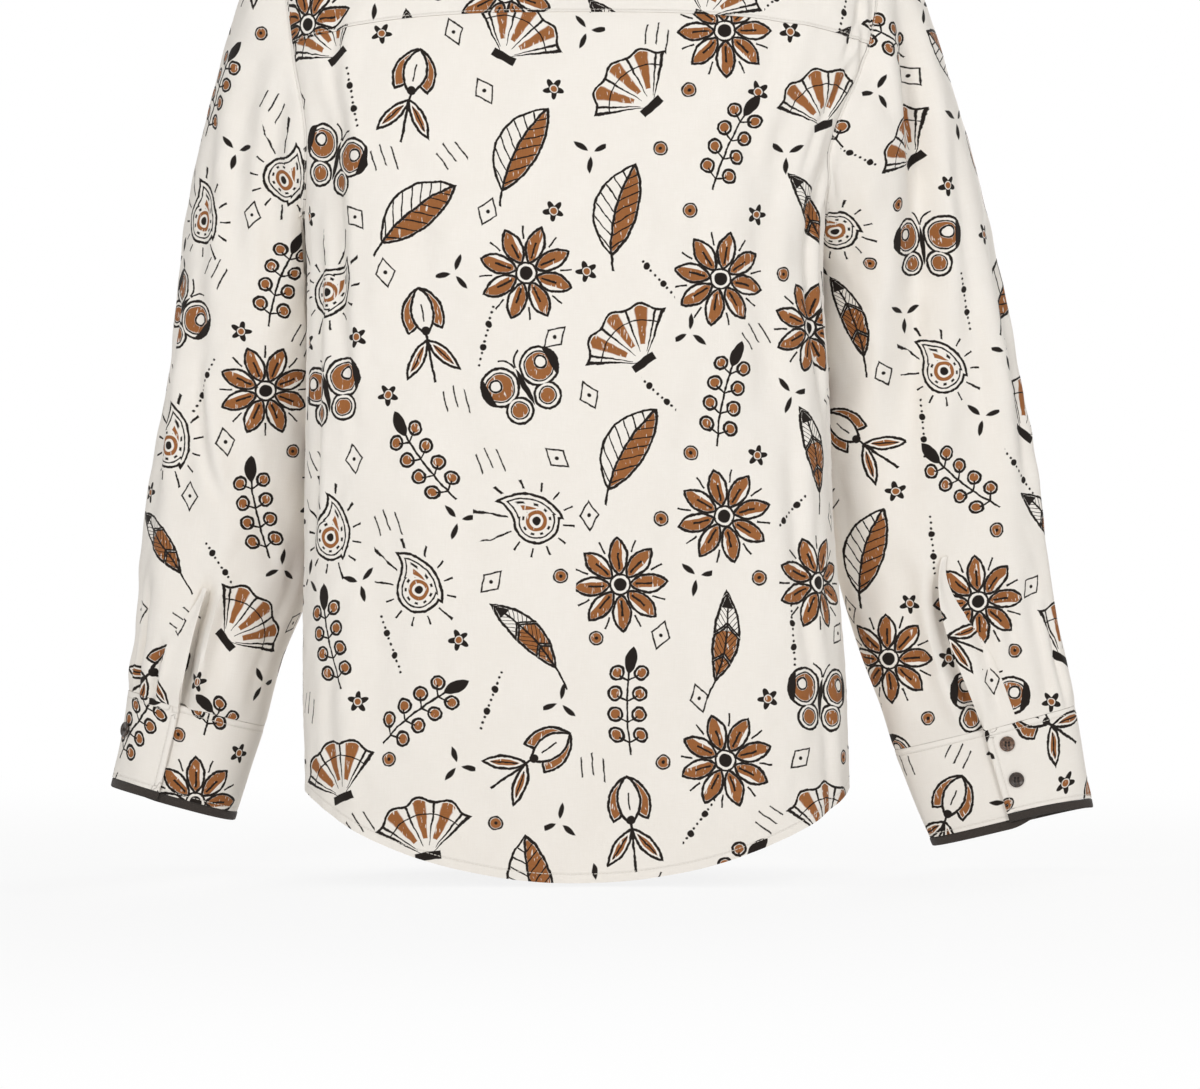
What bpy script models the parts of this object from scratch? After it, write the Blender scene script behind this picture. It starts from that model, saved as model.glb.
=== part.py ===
"""A long-sleeved woven shirt, filled out as if worn, with nothing inside it.

+Z is up and the front faces -Y, so the wearer's left is at +X. The origin is in the middle of the neck
opening, level with the points where the shoulders meet the neck. Lengths are in metres, turns in degrees.

The body's cloth lies on one lofted form. A place on it is a turn round the body, from the wearer's left
side (0) through the back (90), the right side (180) and the front (270), and a level, which is the height
up to the underarm and then runs on over the shoulder to the neck. The sleeves' cloth lies on a form of its
own: a turn round the sleeve, from its outer edge (0) through its back (90), and a fall below the origin.
"""

import math

import bmesh
import bpy
import numpy as np

# Cloth and seams
CLOTH = 0.0015
DOUBLE_CLOTH = 0.0022  # two layers with an interlining: cuffs, collar, button band
SEAM_GAP = 0.0003
ARMHOLE_GAP = 0.0005  # wider, because the cloth turns a corner there
NECK_GAP = 0.0010
LAID_GAP = 0.0004  # under a piece that lies on another

# Body
SQUARENESS = 0.20  # of the body's plan, from 0 for an ellipse towards a rounded box
HEM_SIDE = -0.688
HEM_DROP_BACK = 0.0665
HEM_DROP_FRONT = 0.052
HEM_POWER = 0.77
NECK_LEVEL = 0.085
BODY_RADIUS = 0.170  # of the plan, on average, where a length becomes a turn
SHOULDER_RADIUS = 0.100
BODY_COLUMNS = "level centre_x centre_y half_width back front side_z back_z front_z".split()
BODY_ROWS = (
    (-0.800, 0.0000, 0.020, 0.2010, 0.080, 0.132, -0.800, -0.800, -0.800),  # past the hem
    (-0.690, -0.0003, 0.020, 0.2005, 0.081, 0.130, -0.690, -0.690, -0.690),  # hip
    (-0.610, 0.0015, 0.020, 0.1995, 0.079, 0.128, -0.610, -0.610, -0.610),
    (-0.500, 0.0055, 0.020, 0.1950, 0.075, 0.127, -0.500, -0.500, -0.500),  # waist
    (-0.400, 0.0075, 0.019, 0.1925, 0.078, 0.132, -0.400, -0.400, -0.400),
    (-0.270, 0.0090, 0.016, 0.1920, 0.086, 0.136, -0.270, -0.270, -0.270),  # underarm
    (-0.210, 0.0050, 0.013, 0.2030, 0.089, 0.130, -0.210, -0.213, -0.216),
    (-0.150, -0.0020, 0.009, 0.2220, 0.089, 0.119, -0.150, -0.164, -0.168),  # shoulder blades
    (-0.045, -0.0030, 0.002, 0.2080, 0.082, 0.096, -0.045, -0.100, -0.124),  # shoulder points
    (0.020, -0.0015, 0.000, 0.1400, 0.068, 0.083, -0.022, -0.052, -0.099),
    (NECK_LEVEL, 0.0000, 0.000, 0.0700, 0.053, 0.070, 0.000, -0.020, -0.076),  # neck
)
# Soft upright folds of the body's cloth: depth is inwards, lean is degrees of turn per metre of level.
BODY_FOLD_COLUMNS = "turn level reach lean width depth".split()
BODY_FOLDS = (
    (34.0, -0.285, 0.150, 10.0, 0.020, 0.0050),
    (50.0, -0.580, 0.120, -16.0, 0.022, 0.0035),
    (134.0, -0.310, 0.190, -6.0, 0.020, 0.0055),
    (118.0, -0.610, 0.110, 14.0, 0.024, 0.0035),
    (228.0, -0.440, 0.180, 10.0, 0.022, 0.0050),
    (312.0, -0.470, 0.170, -12.0, 0.022, 0.0050),
)

# Armhole, an oval on the body's form, the same on both sides
ARMHOLE_TOP = -0.045
ARMHOLE_MIDDLE = -0.165
ARMHOLE_BOTTOM = -0.270
ARMHOLE_BACK = 25.0
ARMHOLE_FRONT = 32.0

# Yoke
YOKE_CENTRE = -0.1263  # height of its seam at the centre of the back
YOKE_DROP = 0.0197  # how much lower the seam's ends are, at the armholes
YOKE_POWER = 3.0
YOKE_FRONT_TURN = -12.0  # its front seam, just before the top of the shoulder

# Sleeves: half_width is sideways and half_depth front to back; tilt lifts a ring's outer edge
SLEEVE_COLUMNS = "fall out forward half_width half_depth tilt".split()
SLEEVE_ROWS = {
    "left": (
        (0.305, 0.2365, 0.046, 0.0600, 0.0600, 8.0),
        (0.380, 0.2466, 0.050, 0.0600, 0.0560, 9.0),
        (0.455, 0.2573, 0.055, 0.0612, 0.0520, 9.5),
        (0.530, 0.2637, 0.060, 0.0645, 0.0460, 10.5),
        (0.584, 0.2771, 0.063, 0.0564, 0.0450, 12.5),
        (0.617, 0.2835, 0.065, 0.0532, 0.0420, 14.0),
        (0.634, 0.2862, 0.066, 0.0513, 0.0360, 15.0),
        (0.670, 0.2950, 0.068, 0.0482, 0.0345, 15.5),
        (0.7062, 0.3045, 0.069, 0.0468, 0.0340, 15.7),
    ),
    "right": (
        (0.305, 0.2442, 0.048, 0.0700, 0.0520, 8.0),
        (0.380, 0.2552, 0.052, 0.0755, 0.0430, 9.0),
        (0.455, 0.2630, 0.056, 0.0815, 0.0360, 9.5),
        (0.530, 0.2755, 0.060, 0.0785, 0.0320, 11.0),
        (0.580, 0.2878, 0.063, 0.0750, 0.0310, 12.5),
        (0.618, 0.2988, 0.065, 0.0713, 0.0300, 13.5),
        (0.649, 0.3068, 0.066, 0.0688, 0.0230, 14.0),
        (0.685, 0.3168, 0.068, 0.0650, 0.0220, 14.0),
        (0.7240, 0.3283, 0.069, 0.0610, 0.0220, 13.7),
    ),
}
SLEEVE_SQUARENESS = 0.10
SLEEVE_RADIUS = 0.055  # of a ring, on average, where a length becomes a turn
SLEEVE_CLEARANCE = 0.006  # between a sleeve and the body beside it
SLEEVE_SOFTNESS = 0.003  # how gently the sleeve flattens there
SLEEVE_TOP = 0.305  # the first ring below the cap
# Upright folds and the pleats at the cuff: depth is inwards, lean is degrees per metre of fall.
SLEEVE_FOLD_COLUMNS = "turn fall reach lean width depth".split()
SLEEVE_FOLDS = {
    "left": (
        (56.0, 0.420, 0.110, 60.0, 0.014, 0.0045),
        (110.0, 0.470, 0.090, -60.0, 0.014, 0.0040),
        (31.5, 0.595, 0.060, 0.0, 0.009, 0.0040),
        (285.0, 0.480, 0.130, 50.0, 0.014, 0.0045),
        (330.0, 0.600, 0.060, 0.0, 0.009, 0.0040),
    ),
    "right": (
        (112.0, 0.400, 0.100, 90.0, 0.015, 0.0050),
        (60.0, 0.400, 0.110, 30.0, 0.014, 0.0045),
        (43.5, 0.600, 0.070, 0.0, 0.009, 0.0040),
        (125.0, 0.560, 0.080, -40.0, 0.014, 0.0035),
        (270.0, 0.470, 0.140, 40.0, 0.014, 0.0045),
    ),
}
# The cap's cloth leaves the armhole outwards and ends along the first ring: its sweeps, by top, side, bottom
CAP_OUT = (0.183, 0.068, 0.028)
CAP_DROP = (0.080, 0.030, 0.004)
CAP_END = (0.175, 0.120, 0.045)
CAP_CLEAR = 0.030  # the height over which the sleeve comes clear of the body under the arm

# Cuffs: edge is the turn at which the upper end stops, lift shortens that end at the bottom
CUFF_COLUMNS = "top bottom edge lift opening_top".split()
CUFF_SIZES = {
    "left": (0.634, 0.6992, 79.0, 0.001, 0.545),
    "right": (0.649, 0.7170, 95.0, 0.005, 0.520),
}
CUFF_LAP = 36.0
CUFF_CLIMB_START = 270.0  # how far round a cuff it starts to rise over its own start
CUFF_EASE = 0.0008  # how far a cuff's face stands outside the sleeve's
TRIM_HEIGHT = 0.0065
OPENING_WIDTH = 20.0  # of the folded edge over the sleeve's opening, at the cuff
OPENING_TOP_WIDTH = 3.0  # and at its top
OPENING_LEAN = 4.0  # how much nearer the back's middle the top is

# Front band and collar
BAND_HALF_WIDTH = 0.016
BAND_BELOW_NECK = 0.008
BAND_UNDERLAP = 0.0025  # how far it also covers the edge of the front it is sewn to
STAND_HEIGHT = 0.030
STAND_LAP = 0.012
STAND_STEP_START = 20.0
STAND_STEP_TURN = 50.0
NECK_HALF_WIDTH = 0.084  # of its ring at the front, where the plan is squarer than an ellipse
NECK_LEAN = 0.18  # how far the stand leans in for each metre that it rises
COLLAR_ROLL = 0.011
COLLAR_PULL = 0.017  # how far out the fall swings at its roll
COLLAR_LIFT = 0.005  # between the fall's edge and the shoulders
COLLAR_TIP_START = 0.52  # share of the way from the centre of the back to each end
COLLAR_GAP = 0.012  # from the centre of the front to each end of the fall
COLLAR_BACK = 0.038  # how far down the form's levels the fall reaches at the back
COLLAR_POINT = 0.096  # and how much further at its points
COLLAR_SPREAD = 8.0

# Buttons
FRONT_BUTTON = 0.0110
CUFF_BUTTON = 0.0115
BUTTON_THICKNESS = 0.0024
BUTTON_RIM = 0.0018
BUTTON_DISH = 0.0006
BUTTON_SIDES = 12
FRONT_BUTTONS = 6
FRONT_BUTTON_TOP = -0.142
FRONT_BUTTON_PITCH = 0.092
CUFF_BUTTON_COLUMNS = "side turn fall".split()
CUFF_BUTTONS = (
    ("left", 28.0, 0.6620),
    ("right", 81.0, 0.6625),
    ("right", 81.0, 0.6895),
)

# Base colour, roughness and metallic value of each finish
FINISHES = {
    "cloth": ((0.90, 0.85, 0.77), 0.85, 0.0),
    "trim": ((0.055, 0.042, 0.034), 0.75, 0.0),
    "button": ((0.035, 0.022, 0.015), 0.35, 0.0),
}

SIGN = {"left": 1.0, "right": -1.0}
AXIS = (0.0, 0.0, 1.0)

# Grid steps
LOWER_ROWS = 8
BACK_COLUMNS = 22
FRONT_COLUMNS = 10
CAP_BACK_STEPS = 5  # along the armhole, from the shoulder to the yoke's seam
UNDER_BACK_STEPS = 7  # from there to the underarm
UNDER_FRONT_STEPS = 9  # from the underarm to the yoke's front seam
SHOULDER_STEPS = 4  # along that seam to the neck
COLLAR_STEPS = 24
COLLAR_ROWS = 5
CAP_ROWS = 7
CUFF_STEP = 12.0


def between(low, high, count, last=True):
    return np.linspace(low, high, count + 1 if last else count, endpoint=last)


def ease(t):
    t = np.clip(t, 0.0, 1.0)
    return t * t * (3.0 - 2.0 * t)


def unit(vectors):
    return vectors / np.linalg.norm(vectors, axis=-1, keepdims=True)


def read(names, rows, at):
    """Every named column at the given values of the first one, on smooth curves through the rows."""
    values = np.array(rows)
    knots = values[:, 0]
    slopes = np.gradient(values, knots, axis=0)
    at = np.clip(at, knots[0], knots[-1])
    low = np.clip(np.searchsorted(knots, at) - 1, 0, len(knots) - 2)
    width = knots[low + 1] - knots[low]
    t = (at - knots[low]) / width
    columns = {}
    for number, name in enumerate(names):
        start, end = values[low, number], values[low + 1, number]
        rise = (3.0 - 2.0 * t) * t * t
        leave = (t - 1.0) ** 2 * t * width * slopes[low, number]
        arrive = (t - 1.0) * t * t * width * slopes[low + 1, number]
        columns[name] = start + (end - start) * rise + leave + arrive
    return columns


def fold_depth(names, rows, turn, place, radius):
    """How far the folds of a table push the cloth in: soft troughs along a leaning line."""
    depth = np.zeros(np.broadcast(turn, place).shape)
    for row in rows:
        fold = dict(zip(names, row))
        middle, reach = row[1], fold["reach"]
        along = (place - middle) / reach
        off = (turn - fold["turn"] - fold["lean"] * (place - middle) + 180.0) % 360.0 - 180.0
        across = np.radians(off) * radius / fold["width"]
        depth += fold["depth"] * np.exp(-across**2) * ease(1.5 * (1.0 - np.abs(along)))
    return depth


# ---------------------------------------------------------------- the body's form


def body_form(turn, level):
    """Points of the plain form: rounded plans, whose height also varies round the shoulders."""
    turn, level = np.broadcast_arrays(np.radians(turn), level)
    row = read(BODY_COLUMNS, BODY_ROWS, level)
    cos, sin = np.cos(turn), np.sin(turn)
    at_back = sin > 0.0
    depth = np.where(at_back, row["back"], row["front"])
    end_z = np.where(at_back, row["back_z"], row["front_z"])
    x = row["centre_x"] + row["half_width"] * cos * (1.0 + SQUARENESS * sin**2)
    y = row["centre_y"] + depth * sin * (1.0 + SQUARENESS * cos**2)
    z = row["side_z"] + (end_z - row["side_z"]) * sin**2
    return np.stack([x, y, z], axis=-1)


def body_normal(turn, level):
    """The way out of the form, from its slopes round and up."""
    small_turn, small_level = 0.2, 0.002
    level = np.clip(level, None, NECK_LEVEL - small_level)
    across = body_form(turn + small_turn, level) - body_form(turn - small_turn, level)
    up = body_form(turn, level + small_level) - body_form(turn, level - small_level)
    return unit(np.cross(across, up))


def body(turn, level, out=0.0):
    """Points of the body's outer cloth face, or of a face that lies the given distance outside it."""
    push = out - fold_depth(BODY_FOLD_COLUMNS, BODY_FOLDS, turn, level, BODY_RADIUS)
    return body_form(turn, level) + body_normal(turn, level) * np.asarray(push)[..., None]


def level_at(turn, height):
    """The level, on the upper body, at which the form reaches each height."""
    levels = np.linspace(ARMHOLE_BOTTOM, NECK_LEVEL, 200)
    turn, height = np.atleast_1d(turn), np.broadcast_to(height, np.shape(np.atleast_1d(turn)))
    return np.array(
        [np.interp(h, body_form(t, levels)[:, 2], levels) for t, h in zip(turn, height)]
    )


def body_edge(side, y, z):
    """How far out to the given side the form reaches, at each distance back and height."""
    row = read(BODY_COLUMNS, BODY_ROWS, z)
    off = y - row["centre_y"]
    depth = np.where(off > 0.0, row["back"], row["front"])
    share = np.clip(off / depth, -0.999, 0.999)
    turn = np.arcsin(share)
    for _ in range(6):
        sin, cos = np.sin(turn), np.cos(turn)
        miss = sin * (1.0 + SQUARENESS * cos**2) - share
        slope = cos * (1.0 + SQUARENESS * (cos**2 - 2.0 * sin**2))
        turn = np.clip(turn - miss / np.maximum(slope, 0.2), -1.5, 1.5)
    reach = np.cos(turn) * (1.0 + SQUARENESS * np.sin(turn) ** 2)
    return SIGN[side] * row["centre_x"] + row["half_width"] * reach


def armhole(side, turn, gap=0.0):
    """(turn, level) on the body at a turn round the armhole; a gap above 0 is outside the hole."""
    sin, cos = np.sin(np.radians(turn)), np.cos(np.radians(turn))
    across = np.where(sin > 0.0, ARMHOLE_BACK, ARMHOLE_FRONT) + math.degrees(gap / BODY_RADIUS)
    rise = np.where(cos > 0.0, ARMHOLE_TOP - ARMHOLE_MIDDLE, ARMHOLE_MIDDLE - ARMHOLE_BOTTOM) + gap
    on_left = across * sin
    return (on_left if side == "left" else 180.0 - on_left), ARMHOLE_MIDDLE + rise * cos


def yoke_height(turn):
    """Height of the yoke's back seam: flat in the middle, lower towards the armholes."""
    turn = np.radians(turn)
    across = np.abs(np.cos(turn) * (1.0 + SQUARENESS * np.sin(turn) ** 2))
    return YOKE_CENTRE - YOKE_DROP * (across / 0.95) ** YOKE_POWER


def hem_height(turn):
    """The shirt-tail: highest at the side seams, and rounded down to front and back."""
    sin, cos = np.sin(np.radians(turn)), np.cos(np.radians(turn))
    across = np.clip(np.abs(cos * (1.0 + SQUARENESS * sin**2)), 0.0, 1.0)
    drop = np.where(sin > 0.0, HEM_DROP_BACK, HEM_DROP_FRONT)
    return HEM_SIDE - drop * (1.0 - across**2) ** HEM_POWER


def yoke_corner():
    """The turn round the armhole at which the yoke's back seam meets it."""
    turns = np.linspace(110.0, 50.0, 120)
    on_body, levels = armhole("left", turns)
    miss = body_form(on_body, levels)[:, 2] - yoke_height(on_body)
    return float(np.interp(0.0, miss, turns))


YOKE_CORNER = yoke_corner()
FRONT_CORNER = 360.0 + math.degrees(math.asin(YOKE_FRONT_TURN / ARMHOLE_FRONT))
UPPER_BACK_TURNS = between(0.0, YOKE_CORNER, CAP_BACK_STEPS)
UNDER_BACK_TURNS = between(YOKE_CORNER, 180.0, UNDER_BACK_STEPS)
UNDER_FRONT_TURNS = between(180.0, FRONT_CORNER, UNDER_FRONT_STEPS)
SLEEVE_TURNS = np.concatenate(
    [UPPER_BACK_TURNS[:-1], UNDER_BACK_TURNS[:-1], UNDER_FRONT_TURNS, [(FRONT_CORNER + 360.0) / 2.0]]
)


# ---------------------------------------------------------------- the sleeves' form


def clear_of_body(side, points, clearance):
    """Moves points outwards, softly, until they are that far outside the body."""
    out = SIGN[side] * points[..., 0]
    wall = body_edge(side, points[..., 1], points[..., 2]) + clearance
    moved = 0.5 * (out + wall + np.sqrt((out - wall) ** 2 + SLEEVE_SOFTNESS**2))
    return np.stack([SIGN[side] * moved, points[..., 1], points[..., 2]], axis=-1)


def sleeve_form(side, turn, fall):
    """Points of the plain sleeve: tilted oval rings, flattened where they meet the body."""
    turn, fall = np.broadcast_arrays(np.radians(turn), fall)
    row = read(SLEEVE_COLUMNS, SLEEVE_ROWS[side], fall)
    cos, sin = np.cos(turn), np.sin(turn)
    tilt = np.radians(row["tilt"])
    sideways = row["half_width"] * cos * (1.0 + SLEEVE_SQUARENESS * sin**2)
    x = SIGN[side] * (row["out"] + sideways * np.cos(tilt))
    y = row["half_depth"] * sin * (1.0 + SLEEVE_SQUARENESS * cos**2) - row["forward"]
    z = sideways * np.sin(tilt) - fall
    return clear_of_body(side, np.stack([x, y, z], axis=-1), SLEEVE_CLEARANCE)


def sleeve(side, turn, fall, out=0.0):
    """Points of the sleeve's outer cloth face, or of a face that lies the given distance outside it."""
    across = sleeve_form(side, turn + 1.0, fall) - sleeve_form(side, turn - 1.0, fall)
    up = sleeve_form(side, turn, fall - 0.004) - sleeve_form(side, turn, fall + 0.004)
    normal = unit(np.cross(across, up)) * SIGN[side]
    names, rows = SLEEVE_FOLD_COLUMNS, SLEEVE_FOLDS[side]
    push = out - fold_depth(names, rows, turn, fall, SLEEVE_RADIUS)
    return sleeve_form(side, turn, fall) + normal * np.asarray(push)[..., None]


def by_side(values, turn):
    """A value that is given at the top, side and bottom of the armhole, at any turn round it."""
    top, side, bottom = values
    cos = np.cos(np.radians(turn))
    return side + 0.5 * (top - bottom) * cos + (0.5 * (top + bottom) - side) * cos**2


def sleeve_cap(side, turn, share):
    """Points of the cap, from the armhole (0) to the first ring (1), on smooth cubic paths."""
    turn, share = np.broadcast_arrays(turn, share)
    start = body(*armhole(side, turn, SEAM_GAP / 2.0 - ARMHOLE_GAP))
    end = sleeve(side, turn, SLEEVE_TOP)
    leave = np.stack(
        [
            SIGN[side] * by_side(CAP_OUT, turn),
            np.zeros(turn.shape),
            -by_side(CAP_DROP, turn),
        ],
        axis=-1,
    )
    down = unit(sleeve_form(side, turn, SLEEVE_TOP + 0.02) - sleeve_form(side, turn, SLEEVE_TOP))
    arrive = down * by_side(CAP_END, turn)[..., None]
    t = share[..., None]
    path = start + (end - start) * (3.0 - 2.0 * t) * t * t
    path = path + (t - 1.0) ** 2 * t * leave + (t - 1.0) * t * t * arrive
    free = clear_of_body(side, path, SLEEVE_CLEARANCE * ease(4.0 * share))
    below = ease((ARMHOLE_BOTTOM + CAP_CLEAR - path[..., 2]) / CAP_CLEAR) * ease(8.0 * share)
    return path + (free - path) * below[..., None]


# ---------------------------------------------------------------- making pieces


def finish(thing, kind):
    """Gives an object a material of its own."""
    colour, roughness, metallic = FINISHES[kind]
    material = bpy.data.materials.new(f"{thing.name}_{kind}")
    material.use_nodes = True
    shader = material.node_tree.nodes["Principled BSDF"]
    shader.inputs["Base Color"].default_value = (*colour, 1.0)
    shader.inputs["Roughness"].default_value = roughness
    shader.inputs["Metallic"].default_value = metallic
    material.diffuse_color = (*colour, 1.0)
    thing.data.materials.append(material)


def add_mesh(name, points, faces, kind):
    mesh = bpy.data.meshes.new(name)
    mesh.from_pydata([tuple(point) for point in points], [], [tuple(face) for face in faces])
    shape = bmesh.new()
    shape.from_mesh(mesh)
    bmesh.ops.recalc_face_normals(shape, faces=shape.faces)
    shape.to_mesh(mesh)
    shape.free()
    mesh.shade_smooth()
    mesh.set_sharp_from_angle(angle=math.radians(50.0))
    thing = bpy.data.objects.new(name, mesh)
    bpy.context.scene.collection.objects.link(thing)
    finish(thing, kind)
    return thing


def grid_normal(face, inside, around=False):
    """The way out of each point of a grid, away from the points inside."""
    if around:
        wide = np.concatenate([face[:, -1:], face, face[:, :1]], axis=1)
        across = np.gradient(wide, axis=1)[:, 1:-1]
    else:
        across = np.gradient(face, axis=1)
    normal = unit(np.cross(across, np.gradient(face, axis=0)))
    return normal if np.sum(normal * (face - inside)) > 0.0 else -normal


def cloth(name, face, normal, thickness, kind="cloth", around=False):
    """A closed wall whose outer face is a grid of points; around joins its last column to its first."""
    rows, columns = face.shape[:2]
    lining = face - normal * thickness
    points = np.concatenate([face.reshape(-1, 3), lining.reshape(-1, 3)])

    under = rows * columns
    number = np.arange(under).reshape(rows, columns)
    if around:
        number = np.concatenate([number, number[:, :1]], axis=1)
        rims = [number[0], number[-1]]
    else:
        rim = [number[0], number[1:, -1], number[-1, -2::-1], number[-2::-1, 0]]
        rims = [np.concatenate(rim)]
    a, b = number[:-1, :-1].ravel(), number[:-1, 1:].ravel()
    c, d = number[1:, 1:].ravel(), number[1:, :-1].ravel()
    faces = [(a, b, c), (a, c, d), (a + under, c + under, b + under), (a + under, d + under, c + under)]
    for rim in rims:
        here, there = rim[:-1], rim[1:]
        faces += [(here, there + under, there), (here, here + under, there + under)]
    triangles = np.concatenate([np.stack(corners, axis=1) for corners in faces])
    return add_mesh(name, points, triangles, kind)


def button(name, place, normal, diameter):
    """A turned button with a raised rim, lying on the cloth at a place."""
    radius = diameter / 2.0
    floor = BUTTON_THICKNESS - BUTTON_DISH
    profile = (
        (radius * 0.86, 0.0),
        (radius, BUTTON_THICKNESS * 0.35),
        (radius, BUTTON_THICKNESS * 0.75),
        (radius - BUTTON_RIM * 0.4, BUTTON_THICKNESS),
        (radius - BUTTON_RIM, BUTTON_THICKNESS),
        (radius - BUTTON_RIM * 1.5, floor),
    )
    turns = np.radians(between(0.0, 360.0, BUTTON_SIDES, last=False))
    flat = [(r * math.cos(t), r * math.sin(t), h) for r, h in profile for t in turns]
    points = np.array([(0.0, 0.0, 0.0), *flat, (0.0, 0.0, floor)])
    faces = []
    for n in range(BUTTON_SIDES):
        m = (n + 1) % BUTTON_SIDES
        faces.append((0, 1 + m, 1 + n))
        for ring in range(len(profile) - 1):
            low, high = 1 + ring * BUTTON_SIDES, 1 + (ring + 1) * BUTTON_SIDES
            faces.append((low + n, low + m, high + m, high + n))
        faces.append((high + n, high + m, len(points) - 1))
    up = unit(np.asarray(normal))
    side = unit(np.cross(up, (0.0, 0.0, 1.0)))
    frame = np.stack([side, np.cross(up, side), up])
    return add_mesh(name, place + points @ frame, faces, "button")


# ---------------------------------------------------------------- the pieces


def panel_levels(edge_levels, pull):
    """Levels of a panel's grid: the edge's own where pull is 1, and evenly spaced rows where it is 0."""
    even = between(edge_levels[0], edge_levels[-1], len(edge_levels) - 1)[:, None]
    return even + (edge_levels[:, None] - even) * pull


def hang(turn, level, top_level=None):
    """Bends the rows of a panel, so that the lowest follows the hem and the highest the given levels."""
    low, high = level[0, 0], level[-1, 0]
    climb = (level - low) / (high - low)
    level = level + (hem_height(turn[0]) - low) * (1.0 - climb)
    if top_level is not None:
        level = level + (top_level(turn[-1]) - high) * climb
    return level


def body_cloth(name, turn, level, out=0.0, thickness=CLOTH):
    cloth(name, body(turn, level, out), body_normal(turn, level), thickness)


def lower_levels():
    return between(HEM_SIDE, ARMHOLE_BOTTOM, LOWER_ROWS, last=False)


def build_back():
    gap = SEAM_GAP / 2.0
    turns, levels = armhole("left", UNDER_BACK_TURNS[::-1], gap)
    lower = lower_levels()
    edge = np.concatenate([np.zeros(len(lower)), turns]) + math.degrees(gap / SHOULDER_RADIUS)
    share = between(0.0, 1.0, BACK_COLUMNS)
    pull = (1.0 - 2.0 * share) * np.abs(1.0 - 2.0 * share)
    turn = 180.0 * share + edge[:, None] * pull
    level = panel_levels(np.concatenate([lower, levels]), np.abs(pull))
    body_cloth("back", turn, hang(turn, level, lambda t: level_at(t, yoke_height(t)) - gap))


def build_yoke():
    gap = SEAM_GAP / 2.0
    front = np.array([FRONT_CORNER, (FRONT_CORNER + 360.0) / 2.0])
    cap = np.concatenate([front, UPPER_BACK_TURNS])
    left_turn, left_level = armhole("left", cap, gap)
    left_turn[0] += math.degrees(gap / SHOULDER_RADIUS)
    right_turn, right_level = armhole("right", cap[::-1], gap)
    right_turn[-1] -= math.degrees(gap / SHOULDER_RADIUS)
    seam = between(left_turn[-1], right_turn[0], BACK_COLUMNS)
    seam_level = level_at(seam, yoke_height(seam)) + gap
    turn = np.concatenate([left_turn[:-1], seam, right_turn[1:]])
    outer = np.concatenate([left_level[:-1], seam_level, right_level[1:]])
    climb = between(0.0, 1.0, SHOULDER_STEPS)[:, None]
    level = outer + (NECK_LEVEL - outer) * climb
    body_cloth("back_yoke", turn, level)


def centre_front(level, across):
    """The turn at a distance from the centre of the front, towards the wearer's left."""
    row = read(BODY_COLUMNS, BODY_ROWS, level)
    return np.degrees((across - row["centre_x"]) / (row["half_width"] * (1.0 + SQUARENESS))) - 90.0


def build_front(side):
    gap = SEAM_GAP / 2.0
    arm_turns, arm_levels = armhole("left", UNDER_FRONT_TURNS, gap)
    lower = lower_levels()
    climb = between(0.0, 1.0, SHOULDER_STEPS)[1:]
    seam_levels = arm_levels[-1] + (NECK_LEVEL - arm_levels[-1]) * climb
    edge = np.concatenate([np.zeros(len(lower)), arm_turns, np.full(len(climb), arm_turns[-1])])
    edge = edge - math.degrees(gap / BODY_RADIUS)
    share = between(0.0, 1.0, FRONT_COLUMNS)
    pull = (1.0 - share) ** 2
    level = panel_levels(np.concatenate([lower, arm_levels, seam_levels]), pull)
    level = hang(-90.0 * share[None, :], level)
    start = 0.0 if side == "left" else -180.0
    middle = centre_front(level, BAND_HALF_WIDTH + SIGN[side] * gap)
    turn = start + (middle - start) * share + SIGN[side] * edge[:, None] * pull
    body_cloth(f"front_{side}", turn, level)
    return level[:, -1]


def build_band(levels):
    """The button band lies over the fronts, on their own rows, and stops just under the stand."""
    levels = np.append(levels[:-1], NECK_LEVEL - BAND_BELOW_NECK)
    across = np.array([-BAND_HALF_WIDTH, 0.0, BAND_HALF_WIDTH + BAND_UNDERLAP])
    turn = np.stack([centre_front(levels, place) for place in across], axis=1)
    level = np.broadcast_to(levels[:, None], turn.shape)
    body_cloth("front_band", turn, level, DOUBLE_CLOTH + LAID_GAP, DOUBLE_CLOTH)


def neck_point(turn, rise, out=0.0):
    """A point above the neck seam: the ring leans in a little as it rises."""
    ring = body_form(turn, NECK_LEVEL)
    away = unit(ring * (1.0, 1.0, 0.0))
    out = np.asarray(out - NECK_LEAN * rise)
    return ring + away * out[..., None] + rise[..., None] * AXIS


def stand_step(turn):
    """The stand's left end stands outside its right end, which it laps: it steps out over the last turns."""
    return ease((-turn - STAND_STEP_START) / STAND_STEP_TURN) * (DOUBLE_CLOTH + LAID_GAP)


def collar_turns():
    reach = 180.0 - math.degrees(COLLAR_GAP / NECK_HALF_WIDTH)
    return between(90.0 - reach, 90.0 + reach, COLLAR_STEPS)


def build_stand():
    half_lap = math.degrees(STAND_LAP / NECK_HALF_WIDTH)
    lap = np.array((-half_lap, 0.0))
    turn = np.concatenate([lap - 90.0, collar_turns(), 270.0 - lap[::-1]])
    rise = between(NECK_GAP, STAND_HEIGHT, 2)[:, None]
    face = neck_point(turn[None, :], rise + 0.0 * turn, stand_step(turn)[None, :])
    cloth("collar_stand", face, grid_normal(face, face * AXIS), DOUBLE_CLOTH)


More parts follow.
